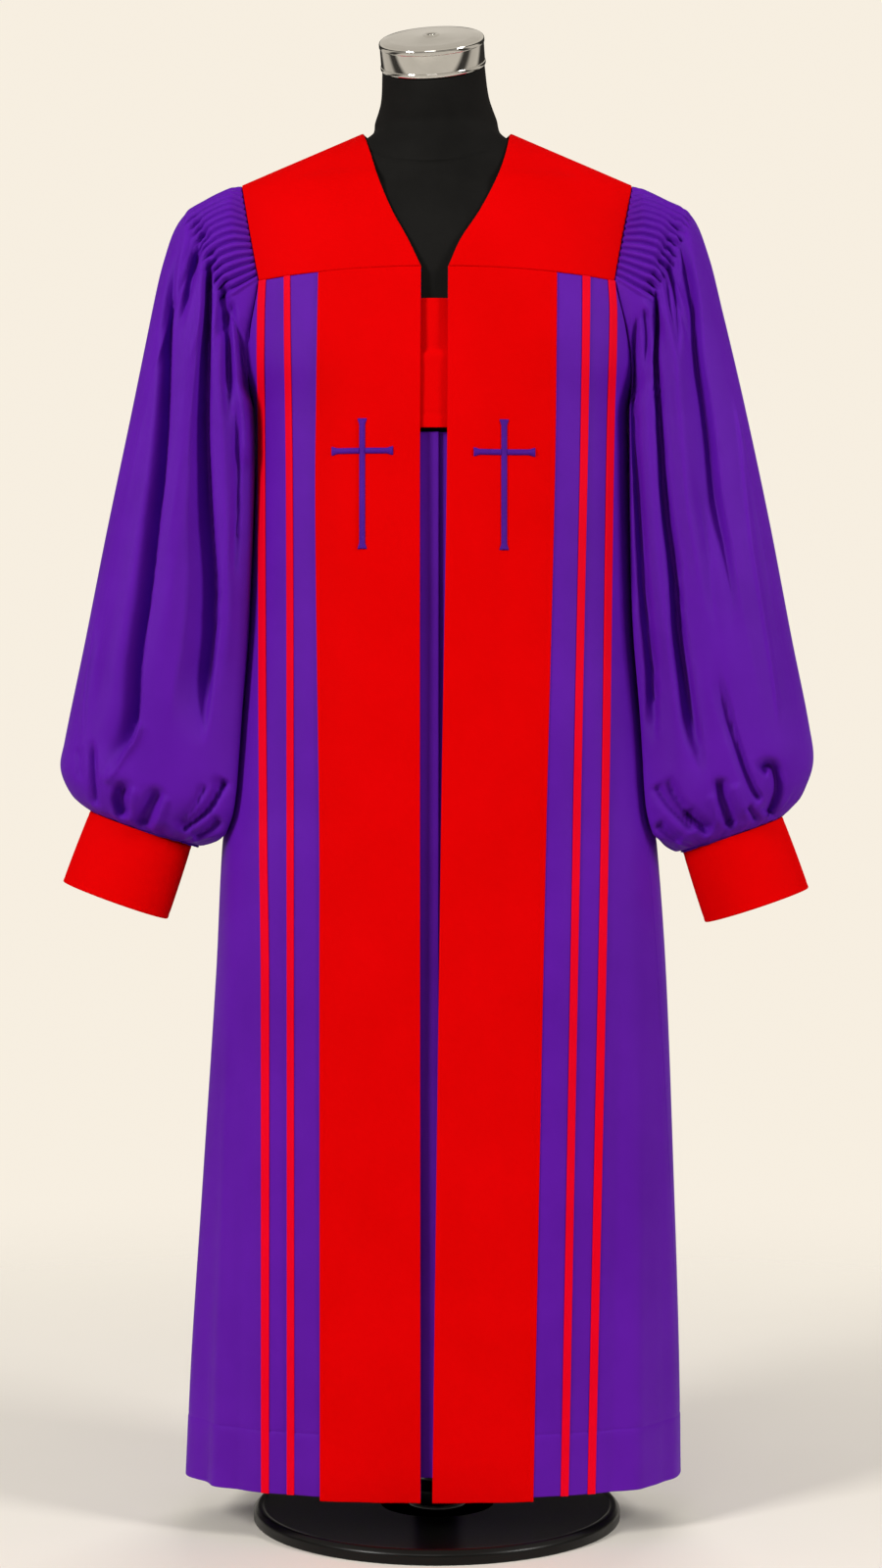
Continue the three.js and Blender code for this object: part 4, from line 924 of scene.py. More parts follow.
# Puckers above each cuff, as seen against the shoulder plane, in the same order of values.
CUFF_PUCKERS = {
    LEFT: [
        ([(-354, 799), (-351, 786), (-350, 763), (-348, 728)], -9.0, (10.0, 9.0, 4.0), 0.3, 0.1, -0.5),
        ([(-367, 790), (-366, 770), (-364, 752)], -4.0, 4.0, 0.2, 0.3, 1.5),
        ([(-303, 815), (-309, 796), (-325, 777), (-341, 750)], 5.0, 5.0, 0.1, 0.1, 1.8),
        ([(-323, 744), (-325, 735), (-322, 724)], -17.0, 6.5, 0.0, 0.0, 2.0),
        ([(-311, 748), (-312, 732), (-314, 717)], 5.0, 4.0, 0.2, 0.0, 1.8),
        ([(-288, 738), (-294, 727), (-300, 714)], -15.0, 6.5, 0.0, 0.0, 2.0),
        ([(-277, 740), (-281, 726), (-286, 710)], 5.0, 4.0, 0.2, 0.0, 1.8),
        ([(-214, 756), (-224, 742), (-236, 723), (-264, 701)], -15.0, (6.0, 4.0, 2.6), 0.1, 0.1, 1.3),
        ([(-226, 752), (-240, 732), (-258, 712)], 5.0, 4.0, 0.2, 0.1, 1.8),
        ([(-222, 716), (-234, 704), (-250, 696)], -12.0, 4.0, 0.1, 0.1, 1.4),
        ([(-236, 752), (-246, 730), (-262, 712)], -7.0, 3.6, 0.2, 0.0, 1.5),
    ],
    RIGHT: [
        ([(331, 762), (338, 769), (346, 766), (349, 748), (345, 733), (339, 719)],
         -17.0, 5.0, 0.06, 0.05, 1.6),
        ([(291, 750), (294, 734), (301, 712)], -17.0, (5.0, 5.0, 3.6), 0.0, 0.0, 1.8),
        ([(281, 742), (284, 728), (288, 712)], 4.0, 4.0, 0.2, 0.0, 1.8),
        ([(304, 752), (309, 736), (316, 722)], 5.0, 5.0, 0.2, 0.0, 1.8),
        ([(224, 752), (232, 738), (244, 722), (264, 702)], -9.0, 4.0, 0.1, 0.1, 1.4),
        ([(235, 760), (246, 736), (262, 716), (282, 700)], -11.0, (4.0, 4.0, 3.0), 0.2, 0.1, 1.4),
        ([(256, 724), (266, 714), (282, 705)], -11.0, 4.0, 0.1, 0.1, 1.5),
        ([(226, 712), (238, 700), (250, 692)], -9.0, 4.0, 0.1, 0.1, 1.5),
        ([(318, 728), (322, 722), (326, 716)], -8.0, 3.0, 0.1, 0.0, 1.5),
    ],
}

# Soft fine drapes between the main folds: how many, their height and half width.
FINE_DRAPES = (13, 1.3, 3.4)


def fine_drapes(degrees, travel, whole, seed):
    random = np.random.default_rng(seed)
    count, height, width = FINE_DRAPES
    total = 0.0
    for middle in np.linspace(8, 352, count) + random.uniform(-9, 9, count):
        start, length = random.uniform(40, 260), random.uniform(160, 380)
        bend = random.uniform(-9, 9) * (travel - start) / 300
        apart = (degrees - middle - bend + 180) % 360 - 180
        alive = ease(travel, start, start + 60) * (1 - ease(travel, start + length - 120, start + length))
        sign = 1 if random.random() < 0.5 else -1
        total = total + sign * height * random.uniform(0.5, 1.2) * alive * bell(apart, width)
    return total * ease(whole - travel, 10, 60)


def armhole_loop(side, degrees):
    """Points of the armhole, on the body's surface, for angles round the sleeve."""
    back = degrees > 180
    step = np.where(back, 360 - degrees, degrees)
    share = np.clip(step / FLUTED_ARC, 0, 1)
    upper = SHOULDER_TIP[1] + (YOKE_CORNER_HEIGHT - SHOULDER_TIP[1]) * share
    lower = np.array([YOKE_CORNER_HEIGHT, 1240, 1215, 1190, 1165, 1148, UNDERARM_HEIGHT])
    below = np.interp((step - FLUTED_ARC) / (180 - FLUTED_ARC) * 6, np.arange(7), lower)
    z = np.where(step <= FLUTED_ARC, upper, below)
    x = armhole_reach(side, z)
    angle = angle_at(side * x, z)
    angle = np.where((step <= 0) | (step >= 180), np.pi / 2, angle)
    points = body_point(side, np.where(back, np.pi - angle, angle), z)
    points[..., 0] = side * (x + SEAM_GAP)
    return points


def flute_ends(side, degrees):
    """As seen: where each flute starts on the seam and where it opens, from the middle, and z."""
    step = np.where(degrees > 180, 360 - degrees, degrees)
    share = np.clip(step / FLUTED_ARC, 0, 1)[:, None]
    (top_x, top_z), (low_x, low_z) = FLUTE_MOUTHS[side]
    seam = as_seen(armhole_loop(side, step))[:, [0, 2]] * np.array([side, 1])
    mouth = np.concatenate([top_x + (low_x - top_x) * share, top_z + (low_z - top_z) * share], axis=1)
    return seam, mouth


def ring_degrees(side, ring, degrees):
    """Angles at which the flutes' straight lines, as seen, cross a ring; the rest lie evenly."""
    step = np.where(degrees > 180, 360 - degrees, degrees)
    seam, mouth = flute_ends(side, degrees)
    way = mouth - seam
    low, high = np.zeros(len(step)), np.full(len(step), 180.0)
    for _ in range(24):
        middle = (low + high) / 2
        place = as_seen(sleeve_ring(side, ring, middle))[:, [0, 2]] * np.array([side, 1]) - seam
        above = way[:, 0] * place[:, 1] - way[:, 1] * place[:, 0] > 0
        low, high = np.where(above, middle, low), np.where(above, high, middle)
    first, last = low[0], low[np.searchsorted(degrees, FLUTED_ARC)]
    fluted = low - first * (1 - step / FLUTED_ARC)
    rest = last + (step - FLUTED_ARC) / (180 - FLUTED_ARC) * (180 - last)
    result = np.where(step <= FLUTED_ARC, fluted, rest)
    return np.where(degrees > 180, 360 - result, result)


def sleeve_ring(side, ring, degrees, power=1.0):
    """Points of a ring; a power below 1 makes its inner half squarer, against the body."""
    outer_x, outer_z, inner_x, inner_z, front, back, swing = ring
    angle = np.radians(degrees)
    depth = np.where(np.sin(angle) > 0, front, back)
    centre = np.array([side * (outer_x + inner_x) / 2, swing, (outer_z + inner_z) / 2])
    arm = np.array([side * (outer_x - inner_x) / 2, 0, (outer_z - inner_z) / 2])
    points = centre + arm * np.cos(angle)[:, None]
    bulge = np.where(np.cos(angle) < 0, np.abs(np.sin(angle)) ** power, np.abs(np.sin(angle)))
    points[:, 1] -= np.sign(np.sin(angle)) * bulge * depth
    return points


def cuff_ring(side, corner, degrees, outset=0.0):
    outer_x, outer_z, inner_x, inner_z = corner
    ring = (outer_x, outer_z, inner_x, inner_z, CUFF_DEPTH, CUFF_DEPTH, CUFF_SWING)
    axis = unit(np.array([side * (inner_z - outer_z), 0, outer_x - inner_x], float))
    return sleeve_ring(side, ring, degrees) + axis * outset


def through(rings, steps):
    """A smooth surface through rings: rows at the given distances along their middle line."""
    rings = np.array(rings)
    gaps = np.linalg.norm(np.diff(rings, axis=0), axis=2).mean(axis=1)
    places = np.concatenate([[0], np.cumsum(gaps)])
    at = steps * places[-1]
    weights = np.stack([
        curve(np.stack([places, np.eye(len(places))[k]], axis=1), 1, at)
        for k in range(len(places))
    ], axis=1)
    return np.einsum("ik,kjc->ijc", weights, rings)


def as_seen(points):
    """Points moved along the view onto the shoulder plane."""
    scale = VIEW_DISTANCE / (VIEW_DISTANCE + points[..., 1])
    flat = points.copy()
    flat[..., 0] = points[..., 0] * scale
    flat[..., 2] = VIEW_HEIGHT + (points[..., 2] - VIEW_HEIGHT) * scale
    return flat


def flute_relief(side, degrees, points):
    """Narrow straight flutes of the sleeve's head, which open where each one ends."""
    step = np.where(degrees > 180, 360 - degrees, degrees)
    count = np.clip(step / FLUTED_ARC, 0, 1) * FLUTE_COUNT
    number = np.minimum(np.floor(count), FLUTE_COUNT - 1).astype(int)
    within = count - number
    seam, mouth = flute_ends(side, degrees)
    way = mouth - seam
    place = as_seen(points)[..., [0, 2]] * np.array([side, 1]) - seam
    along = (place * way).sum(axis=-1) / (way**2).sum(axis=-1)
    random = np.random.default_rng(11 + side)
    reaches = 1 + random.uniform(-0.07, 0.07, FLUTE_COUNT)
    heights = np.linspace(6.2, 8.4, FLUTE_COUNT) * random.uniform(0.85, 1.15, FLUTE_COUNT)
    # Each valley takes the mean of the two flutes beside it, so the surface stays whole.
    reach_out = np.interp(count, np.arange(FLUTE_COUNT) + 0.5, reaches)
    height = np.interp(count, np.arange(FLUTE_COUNT) + 0.5, heights)
    ridge = np.sin(np.pi * within) ** 0.5
    fluted = (step < FLUTED_ARC) & (count < FLUTE_COUNT)
    open_end = 1 - ease(along, reach_out - 0.1, reach_out + 0.06)
    sewn = ease(along, 0, 0.06)
    relief = np.where(fluted, (ridge - 0.72) * height, 0) * open_end * (0.35 + 0.65 * sewn)
    notch = np.where(fluted, (1 - ridge) ** 1.5, 0) * bell(along - reach_out, 0.10)
    swell = np.where(fluted, ridge, 0) * bell(along - reach_out, 0.10)
    return relief + (1.2 * swell - 9.0 * notch) * ease(step, 3, 14)


def mouth_folds(side):
    """Narrow troughs that run down from the flutes' mouths, two in three of them, uneven."""
    random = np.random.default_rng(31 + side)
    folds = []
    for k in range(1, FLUTE_COUNT):
        share = k / FLUTE_COUNT
        (top_x, top_z), (low_x, low_z) = FLUTE_MOUTHS[side]
        x, z = top_x + (low_x - top_x) * share, top_z + (low_z - top_z) * share
        length = random.uniform(40, 130)
        outward = 0.34 * (1 - share) + 0.02 + random.uniform(-0.05, 0.05)
        path = [(side * (x - 3), z + 2), (side * (x + 5 * (1 - share)), z - 9),
                (side * (x + outward * 0.5 * length), z - 0.5 * length),
                (side * (x + outward * length), z - length)]
        depth = -random.uniform(4.0, 9.0)
        if random.random() < 0.72:
            folds.append((path, depth, random.uniform(2.6, 4.2), 0.0, 0.6, 1.5))
    return folds


def gather_relief(degrees, travel, seed):
    """Small gathers round the cuff seam: uneven in place, depth and length."""
    random = np.random.default_rng(seed)
    count = GATHER_COUNT
    middles = (np.arange(count) + random.uniform(-0.32, 0.32, count)) * 360 / count
    depths = random.uniform(1.8, 5.0, count)
    lengths = random.uniform(12, 50, count)
    widths = random.uniform(3.4, 5.6, count)
    total = 0.0
    for middle, depth, length, width in zip(middles, depths, lengths, widths):
        bend = 3.0 * np.sin(travel / 15 + middle)
        apart = (degrees - middle + bend + 180) % 360 - 180
        alive = (0.35 + 0.65 * ease(travel, 0, 8)) * (1 - ease(travel, 0.4 * length, length))
        total = total - depth * alive * bell(apart, width)
        total = total + 0.5 * depth * alive * bell((apart - 1.6 * width), width * 0.8)
    return total


def sleeve_degrees():
    fluted = np.linspace(0, FLUTED_ARC, FLUTE_COUNT * FLUTE_STEPS, endpoint=False)
    underarm = np.linspace(FLUTED_ARC, 180, UNDERARM_STEPS, endpoint=False)
    half = np.concatenate([fluted, underarm])
    return np.concatenate([half, [180], 360 - half[:0:-1]])


def sleeve_steps():
    """Shares along the sleeve: closer rows in the fluted head and above the cuff."""
    head = np.linspace(0, 0.16, 44, endpoint=False)
    middle = np.linspace(0.16, 0.76, 66, endpoint=False)
    foot = np.linspace(0.76, 1.0, 54)
    return np.concatenate([[0, 0.0006, 0.0014, 0.0024], head[1:], middle, foot])


def against_body(side, points, degrees):
    """Draws the sleeve's inner side in, until it just clears the body that it hangs against."""
    y, z = points[..., 1], points[..., 2]
    depth = np.where(y < 0, curve(BODY_SECTIONS, 3, z), curve(BODY_SECTIONS, 4, z))
    power = curve(BODY_SECTIONS, 5, z)
    outline = np.maximum(1 - np.minimum(np.abs(y) / depth, 1) ** power, 0) ** (1 / power)
    gap = side * points[..., 0] - reach(side, z) * outline - BODY_CLEARANCE
    weight = bell(degrees - 190, np.where(degrees < 190, 62, 45))
    weight = weight * ease(1160 - z, 0, 24) * ease(z, 685, 704)
    moved = points.copy()
    moved[..., 0] -= side * np.clip(gap, 0, 30) * weight
    return moved


def fold_heights(seen, points, behind, in_front, at_back):
    """Height of all folds: those in front as seen, and the other sleeve's, mirrored, at the back."""
    total = 0.0
    for path, *shape in in_front:
        total = total + crease(seen, path, *shape) * (1 - behind)
    for path, *shape in at_back:
        mirrored = [(-x, z) for x, z in path]
        total = total + BACK_SHARE * crease(points, mirrored, *shape) * behind
    return total


def build_sleeve(side):
    degrees = sleeve_degrees()
    table = SLEEVE_RINGS[side]
    first, others = [ring_degrees(side, table[k], degrees) for k in (0, 1)]
    rings = [armhole_loop(side, degrees), sleeve_ring(side, table[0], first)]
    rings.insert(1, rings[0] + (rings[1] - rings[0]) * np.array([0.5, 0.6, 0.5]))
    rings += [sleeve_ring(side, ring, others, power) for ring, power in zip(table[1:], RING_POWERS)]
    rings.append(cuff_ring(side, CUFF_RINGS[side][0], others, SEAM_GAP))
    points = through(rings, sleeve_steps())
    inside = np.array(SLEEVE_INSIDE) * [side, 1, 1]
    steps = np.linalg.norm(np.diff(points, axis=0), axis=2)
    travel = np.concatenate([np.zeros((1, len(degrees))), np.cumsum(steps, axis=0)], axis=0)
    left_to_go = travel[-1:] - travel
    turned = np.broadcast_to(others, travel.shape)
    points = against_body(side, points, turned)
    normals = facing(points, points - inside, True)
    relief = flute_relief(side, degrees, points)
    behind = ease(-np.sin(np.radians(turned)), -0.25, 0.12)
    relief = relief + gather_relief(turned, left_to_go, 21 + side) * (0.4 + 0.6 * behind)
    relief = relief + fine_drapes(turned, travel, travel[-1:], 41 + side)
    seen = as_seen(points)
    held = ease(travel, 6, 40)
    places = (seen, points, behind)
    # The main folds sink straight back from the side they are seen from.
    deep = fold_heights(*places, SLEEVE_CREASES[side], SLEEVE_CREASES[-side]) * held
    puckers = fold_heights(*places, CUFF_PUCKERS[side], CUFF_PUCKERS[-side])
    deep = deep + puckers * ease(left_to_go, 0, 5)
    calm = CALMED * ease(left_to_go, 30, 90)
    deep = np.clip(deep, *FOLD_LIMITS) * (1 - calm * bell(turned - INNER_SIDE, 14))
    relief = relief + fold_heights(*places, mouth_folds(side), mouth_folds(-side))
    relief = np.clip(relief, *RELIEF_LIMITS) * (1 - calm * bell(turned - INNER_SIDE, 20))
    points = points + normals * relief[..., None]
    points[..., 1] -= deep * (1 - 2 * behind)
    normals = facing(points, points - inside, True)
    points = turn_under(points, normals, travel, 1.4, 0.7)
    # A seam allowance lies under the yoke and the body's edge, and another inside the cuff.
    head = points[0] - normals[0] * ALLOWANCE_DEPTH
    head_end = head - [side * ALLOWANCE, 0, 0]
    foot = points[-1] - normals[-1] * ALLOWANCE_DEPTH
    foot_end = foot + unit(foot.mean(axis=0) - points[-12].mean(axis=0)) * ALLOWANCE
    points = np.concatenate([[head_end, head], points, [foot, foot_end]])
    normals = normals[np.r_[0, 0, 0:len(normals), -1, -1]]
    return shell(f"visual_sleeve_{SIDE_NAMES[side]}", points, normals, CLOTH, True)


def build_cuff(side):
    degrees = np.linspace(0, 360, 144, endpoint=False)
    top, bottom = [cuff_ring(side, corner, degrees) for corner in CUFF_RINGS[side]]
    share = spaced(CUFF_LENGTH, 4.0)[:, None, None]
    points = top * (1 - share) + bottom * share
    centre = points.mean(axis=1, keepdims=True)
    normals = facing(points, points - centre, True)
    turned = np.radians(degrees)[None, :]
    soft = 0.5 * np.sin(2 * turned + 0.7) * np.sin(np.pi * share[..., 0])
    fall = share[..., 0] * CUFF_LENGTH
    stitch = -0.35 * (bell(fall - CUFF_STITCH, 0.7) + bell(CUFF_LENGTH - fall - CUFF_STITCH, 0.7))
    points = points + normals * (soft + stitch)[..., None]
    above, below = edge_distances(points)[2:]
    points = turn_under(points, normals, above, 1.4, 0.8)
    points = turn_under(points, normals, below, 1.6, 0.9)
    return shell(f"visual_cuff_{SIDE_NAMES[side]}", points, normals, CUFF_WALL, True)


# ---- Bands, ribbons, crosses ----
BAND_STITCHES = (4.2, 3.4)  # distance of the stitch lines from the front edge and the outer one
BAND_HEM = 48.0  # how far the band's hem is turned up


def strip_points(side, low, high, across, rows, proud):
    z = rows[:, None]
    start = front_line(side, low, np.maximum(rows, HEM_HEIGHT))[:, None]
    end = front_line(side, high, np.maximum(rows, HEM_HEIGHT))[:, None]
    x = start + (end - start) * across[None, :]
    points, normals = front_surface(x, z + seam_bow(x, z))
    return points + normals * proud, normals


def trim_rows(foot, step=7.0):
    top = YOKE_CORNER_HEIGHT
    return top - spaced(top - foot, step) * (top - foot)


def build_band(side):
    rows = trim_rows(HEM_HEIGHT - BAND_DROP)
    across = spaced(102, 4.0)
    points, normals = strip_points(side, EDGE, BAND, across, rows, BAND_PROUD)
    first, last, top, bottom = edge_distances(points)
    edge, outer = BAND_STITCHES
    stitched = -0.4 * (bell(first - edge, 0.8) + bell(last - outer, 0.8)) * ease(bottom, 2, 5)
    hemmed = 0.3 * ease(BAND_HEM - bottom, 0, 3) - 0.4 * bell(bottom - BAND_HEM - 2, 1.0)
    points = points + normals * (stitched + hemmed)[..., None]
    points = round_edges(points, normals, (0, 1, 3), 1.5, 0.75)
    points = round_edges(points, normals, (2,), 2.0, 1.2)
    return shell(f"visual_band_{SIDE_NAMES[side]}", points, normals, TRIM)


def build_ribbon(side, which):
    low, high = (INNER, INNER_OUT) if which == "inner" else (OUTER, OUTER_OUT)
    rows = trim_rows(HEM_HEIGHT)
    across = np.array([0, 0.05, 0.12, 0.22, 0.36, 0.5, 0.64, 0.78, 0.88, 0.95, 1])
    points, normals = strip_points(side, low, high, across, rows, RIBBON_PROUD)
    points = round_edges(points, normals, (0, 1), 0.9, 0.55)
    return shell(f"visual_ribbon_{SIDE_NAMES[side]}_{which}", points, normals, RIBBON_WALL)


CROSS_EDGE = 0.15  # thickness of the stitching at its edges
CROSS_CROWN = 2.0  # height of the satin stitch over its padding
THREAD_PITCH = 0.8
THREAD_STEP = 0.4  # between rows of points along a bar


def stitched_bar(start, end, across_way, waist, flared):
    """One bar of satin stitch: x-z points of its face with the height of the crown over it."""
    start, end = np.array(start, float), np.array(end, float)
    length = np.linalg.norm(end - start)
    steps = int(length / THREAD_STEP)
    along = np.linspace(0, length, steps + 1)
    flare = [1 - ease(along, 0, CROSS_FLARE) if flared[0] else 0 * along,
             ease(along, length - CROSS_FLARE, length) if flared[1] else 0 * along]
    half = (waist + (CROSS_END - waist) * np.maximum(*flare)) / 2
    share = np.array([-1, -0.94, -0.82, -0.64, -0.42, -0.2, 0, 0.2, 0.42, 0.64, 0.82, 0.94, 1.0])
    spine = start + (end - start) * (along / length)[:, None]
    flat = spine[:, None, :] + np.array(across_way, float) * (half[:, None] * share)[..., None]
    crown = np.sqrt(1 - 0.985 * share**2)[None, :] * np.minimum(1, half / 3)[:, None]
    thread = 0.1 * np.sin(2 * np.pi * along / THREAD_PITCH)[:, None] * (1 - share**2)
    ends = np.sqrt(np.clip(np.minimum(along, length - along) / 0.9, 0.05, 1))[:, None]
    return flat, crown * CROSS_CROWN * ends + thread


def build_cross(side):
    cross = CROSSES[side]
    x, bar = cross["x"], cross["bar"]
    waist = CROSS_WAIST
    bars = [
        ((x, cross["top"]), (x, cross["foot"]), (1, 0), (True, True)),
        ((x - cross["reach"], bar), (x - waist / 2 + 0.4, bar), (0, 1), (True, False)),
        ((x + cross["reach"], bar), (x + waist / 2 - 0.4, bar), (0, 1), (True, False)),
    ]
    pieces, faces, uvs, start = [], [], [], 0
    for first, last, way, flared in bars:
        flat, crown = stitched_bar(first, last, way, waist, flared)
        base, normals = front_surface(flat[..., 0], flat[..., 1])
        face = base + normals * (BAND_PROUD + CROSS_EDGE + crown)[..., None]
        under = base + normals * BAND_PROUD
        pieces += [face.reshape(-1, 3), under.reshape(-1, 3)]
        faces.append(shell_faces(*crown.shape, start=start))
        uvs += [cloth_uvs(face)] * 2
        start += 2 * crown.size
    return make_mesh(f"visual_cross_{SIDE_NAMES[side]}", np.concatenate(pieces),
                     np.concatenate(faces).tolist(), np.concatenate(uvs))


# ---- Closing pieces between the fronts ----
TAB_CREASE = 1183.0
TAB_HEM = 1120.0


def inner_sheet(name, left, right, top, bottom, depth, relief, step=5.0):
    width, length = right - left, top - bottom
    x = (left + width * spaced(width, 3.0))[None, :]
    z = (top - length * spaced(length, step))[:, None]
    points, normals = front_surface(x, z)
    points = points - normals * (depth - relief(x, z))[..., None]
    normals = facing(points, away(points))
    points = round_edges(points, normals, (0, 1, 2, 3), 1.2, 0.5)
    return shell(name, points, normals, TRIM)


def tab_relief(x, z):
    """The tab is pleated across: a soft roll over the crease, with the part above set back."""
    slant = z - TAB_CREASE - 0.12 * x
    above = ease(slant, -1.0, 2.5)
    roll = 0.8 * bell(slant + 6, 6)
    hem = 0.4 * ease(TAB_HEM - z, 0, 2) - 0.5 * bell(z - TAB_HEM - 1, 1.0)
    return -2.4 * above + roll + hem + 0.3 * np.sin(x / 9 + z / 21)


def placket_relief(x, z):
    return 0.35 * np.sin(x / 7 + z / 160) + 0.3 * np.sin(z / 55 + x / 19)


# ---- Dress form ----
NECK_SEAM = [(-70, 1394), (-50, 1383), (-30, 1378), (-10, 1376), (10, 1377), (28, 1381), (48, 1389)]
NECK_SEAM_DEPTH = 1.5
NECK_SEAM_WIDTH = 1.4


def form_ring(z, angles):
    half, front, back, power = [curve(FORM_SECTIONS, k, z) for k in (1, 2, 3, 4)]
    depth = np.where(np.cos(angles) > 0, front, back)
    x = half * np.sign(np.sin(angles)) * np.abs(np.sin(angles)) ** (2 / power)
    y = -depth * np.sign(np.cos(angles)) * np.abs(np.cos(angles)) ** (2 / power)
    return np.stack([x, y, np.full(angles.shape, float(z))], axis=-1)


def lean_matrix(share):
    tilt, roll = math.radians(CAP_TILT * share), math.radians(-CAP_ROLL * share)
    about_x = np.array([[1, 0, 0], [0, math.cos(tilt), -math.sin(tilt)],
                        [0, math.sin(tilt), math.cos(tilt)]])
    about_y = np.array([[math.cos(roll), 0, math.sin(roll)], [0, 1, 0],
                        [-math.sin(roll), 0, math.cos(roll)]])
    return about_x @ about_y


def neck_ring(row, angles, drop=0.0):
    x, y, z, half, depth, lean = row
    ring = np.stack([half * np.sin(angles), -depth * np.cos(angles),
                     np.full(angles.shape, -drop)], axis=-1)
    return ring @ lean_matrix(lean).T + np.array([x, y, z])


def build_form():
    angles = np.linspace(0, 2 * np.pi, 144, endpoint=False)
    rings = [neck_ring(NECK_RINGS[0], angles, SEAM_GAP)]
    rings += [neck_ring(row, angles) for row in NECK_RINGS[1:]]
    rings += [form_ring(z, angles) for z in FORM_SECTIONS[:, 0]]
    # Closer rows where the neck seam runs.
    shares = np.concatenate([np.linspace(0, 0.07, 20, False), np.linspace(0.07, 0.17, 90, False),
                             np.linspace(0.17, 1, 120)])
    points = through(rings, shares)
    normals = facing(points, away(points), True)
    distance, share = path_distance(points, smooth_path(NECK_SEAM, 40))[:2]
    front = points[..., 1] < 0
    ends = ease(share, 0, 0.02) * ease(1 - share, 0, 0.02)
    groove = -NECK_SEAM_DEPTH * bell(distance, NECK_SEAM_WIDTH) * front * ends
    points = points + normals * groove[..., None]
    ends = [points[0].mean(axis=0), points[-1].mean(axis=0)]
    return make_mesh("visual_form", np.concatenate([points.reshape(-1, 3), ends]),
                     capped_faces(*points.shape[:2]))


def turned_solid(name, profile, segments=144):
    """Solid of revolution about +Z through a profile of (radius, height) from axis to axis.

    The fans at its ends face inwards, and the base's shade round the pole comes from that.
    """
    profile = np.array(profile, float)
    ring = np.linspace(0, 2 * np.pi, segments, endpoint=False)
    inner = profile[1:-1]
    rings = np.stack([inner[:, :1] * np.cos(ring), inner[:, :1] * np.sin(ring),
                      np.repeat(inner[:, 1:], segments, axis=1)], axis=-1)
    poles = np.array([[0, 0, profile[0, 1]], [0, 0, profile[-1, 1]]])
    return make_mesh(name, np.concatenate([rings.reshape(-1, 3), poles]),
                     capped_faces(len(inner), segments, inward=True))


def rounded(profile, radius, steps=5):
    """The profile with each of its inner corners rounded to a radius, as far as its sides allow."""
    profile = [np.array(p, float) for p in profile]
    result = [profile[0]]
    for before, corner, after in zip(profile[:-2], profile[1:-1], profile[2:]):
        back, on = np.linalg.norm(before - corner), np.linalg.norm(after - corner)
        reach_in = min(radius, 0.45 * back, 0.45 * on)
        start = corner + (before - corner) / back * reach_in
        end = corner + (after - corner) / on * reach_in
        for s in np.linspace(0, 1, steps):
            result.append((1 - s) ** 2 * start + 2 * s * (1 - s) * corner + s**2 * end)
    result.append(profile[-1])
    return result


CAP_PROFILE = [
    (0, 0), (51.5, 0), (53.5, 1.6), (53.5, 5), (52.8, 5.3), (52.8, 23.6), (53.5, 23.9),
    (53.5, 28), (51.5, 30.2), (44, 31.6), (9, 32.8), (8, 33.9), (6.5, 34.2), (5, 33.6), (0, 33.4),
]
BASE_PROFILE = [
    (0, 0), (BASE_RADIUS - 1, 0), (BASE_RADIUS, 1), (BASE_RADIUS, BASE_THICKNESS - BASE_LIP),
    (BASE_RADIUS - BASE_LIP, BASE_THICKNESS), (BASE_RADIUS - 9, BASE_THICKNESS - 0.4),
    (BASE_RADIUS - 11, BASE_THICKNESS - 1.6), (60, BASE_THICKNESS - 1.2), (0, BASE_THICKNESS - 1.2),
]
POLE_PROFILE = [
    (0, BASE_THICKNESS + SEAM_GAP), (24, BASE_THICKNESS + SEAM_GAP), (24, 30), (19, 37), (14.5, 38),
    (14, 40), (14, 703.5), (0, 703.5),
]


# ---- The pieces ----
made = {}
for side in (LEFT, RIGHT):
    name = SIDE_NAMES[side]
    made[f"yoke_front_{name}"] = (build_front_yoke(side), RED, "red_cloth")
    made[f"front_{name}"] = (build_front(side), PURPLE, "purple_cloth")
    made[f"band_{name}"] = (build_band(side), RED, "red_cloth")
    made[f"ribbon_{name}_inner"] = (build_ribbon(side, "inner"), RIBBON, "ribbon")
    made[f"ribbon_{name}_outer"] = (build_ribbon(side, "outer"), RIBBON, "ribbon")
    made[f"sleeve_{name}"] = (build_sleeve(side), PURPLE, "purple_cloth")
    made[f"cuff_{name}"] = (build_cuff(side), RED, "red_cloth")
    made[f"cross_{name}"] = (build_cross(side), THREAD, "embroidery")
made["yoke_back"] = (build_back_yoke(), RED, "red_cloth")
made["back"] = (build_back(), PURPLE, "purple_cloth")
tab_edges = [CHEST_TAB[edge] for edge in ("left", "right", "top", "bottom")]
tab = inner_sheet("visual_chest_tab", *tab_edges, CHEST_TAB["depth"], tab_relief, 3.0)
made["chest_tab"] = (tab, RED, "red_cloth")
placket_edges = {LEFT: (CHEST_TAB["left"], PLACKET_LAP), RIGHT: (CHEST_TAB["left"] / 2, CHEST_TAB["right"])}
for side in (LEFT, RIGHT):
    placket = inner_sheet(f"visual_placket_{SIDE_NAMES[side]}", *placket_edges[side], PLACKETS["top"],
                          PLACKETS["bottom"], PLACKET_DEPTH[side], placket_relief)
    made[f"placket_{SIDE_NAMES[side]}"] = (placket, PURPLE, "purple_cloth")
made["form_torso"] = (build_form(), JERSEY, "form_black")
cap = turned_solid("visual_neck_cap", rounded(CAP_PROFILE, radius=1.6))
cap.data.transform(Matrix([[*row, 0] for row in lean_matrix(1.0)] + [[0, 0, 0, 1]]))
cap.data.transform(Matrix.Translation(Vector(CAP_SEAT) * MM))
made["neck_cap"] = (cap, CHROME, "cap_chrome")
made["base"] = (turned_solid("visual_base", rounded(BASE_PROFILE, radius=2.0), 192), LACQUER, "base_black")
made["pole"] = (turned_solid("visual_pole", rounded(POLE_PROFILE, radius=1.5), 64), LACQUER, "base_black")

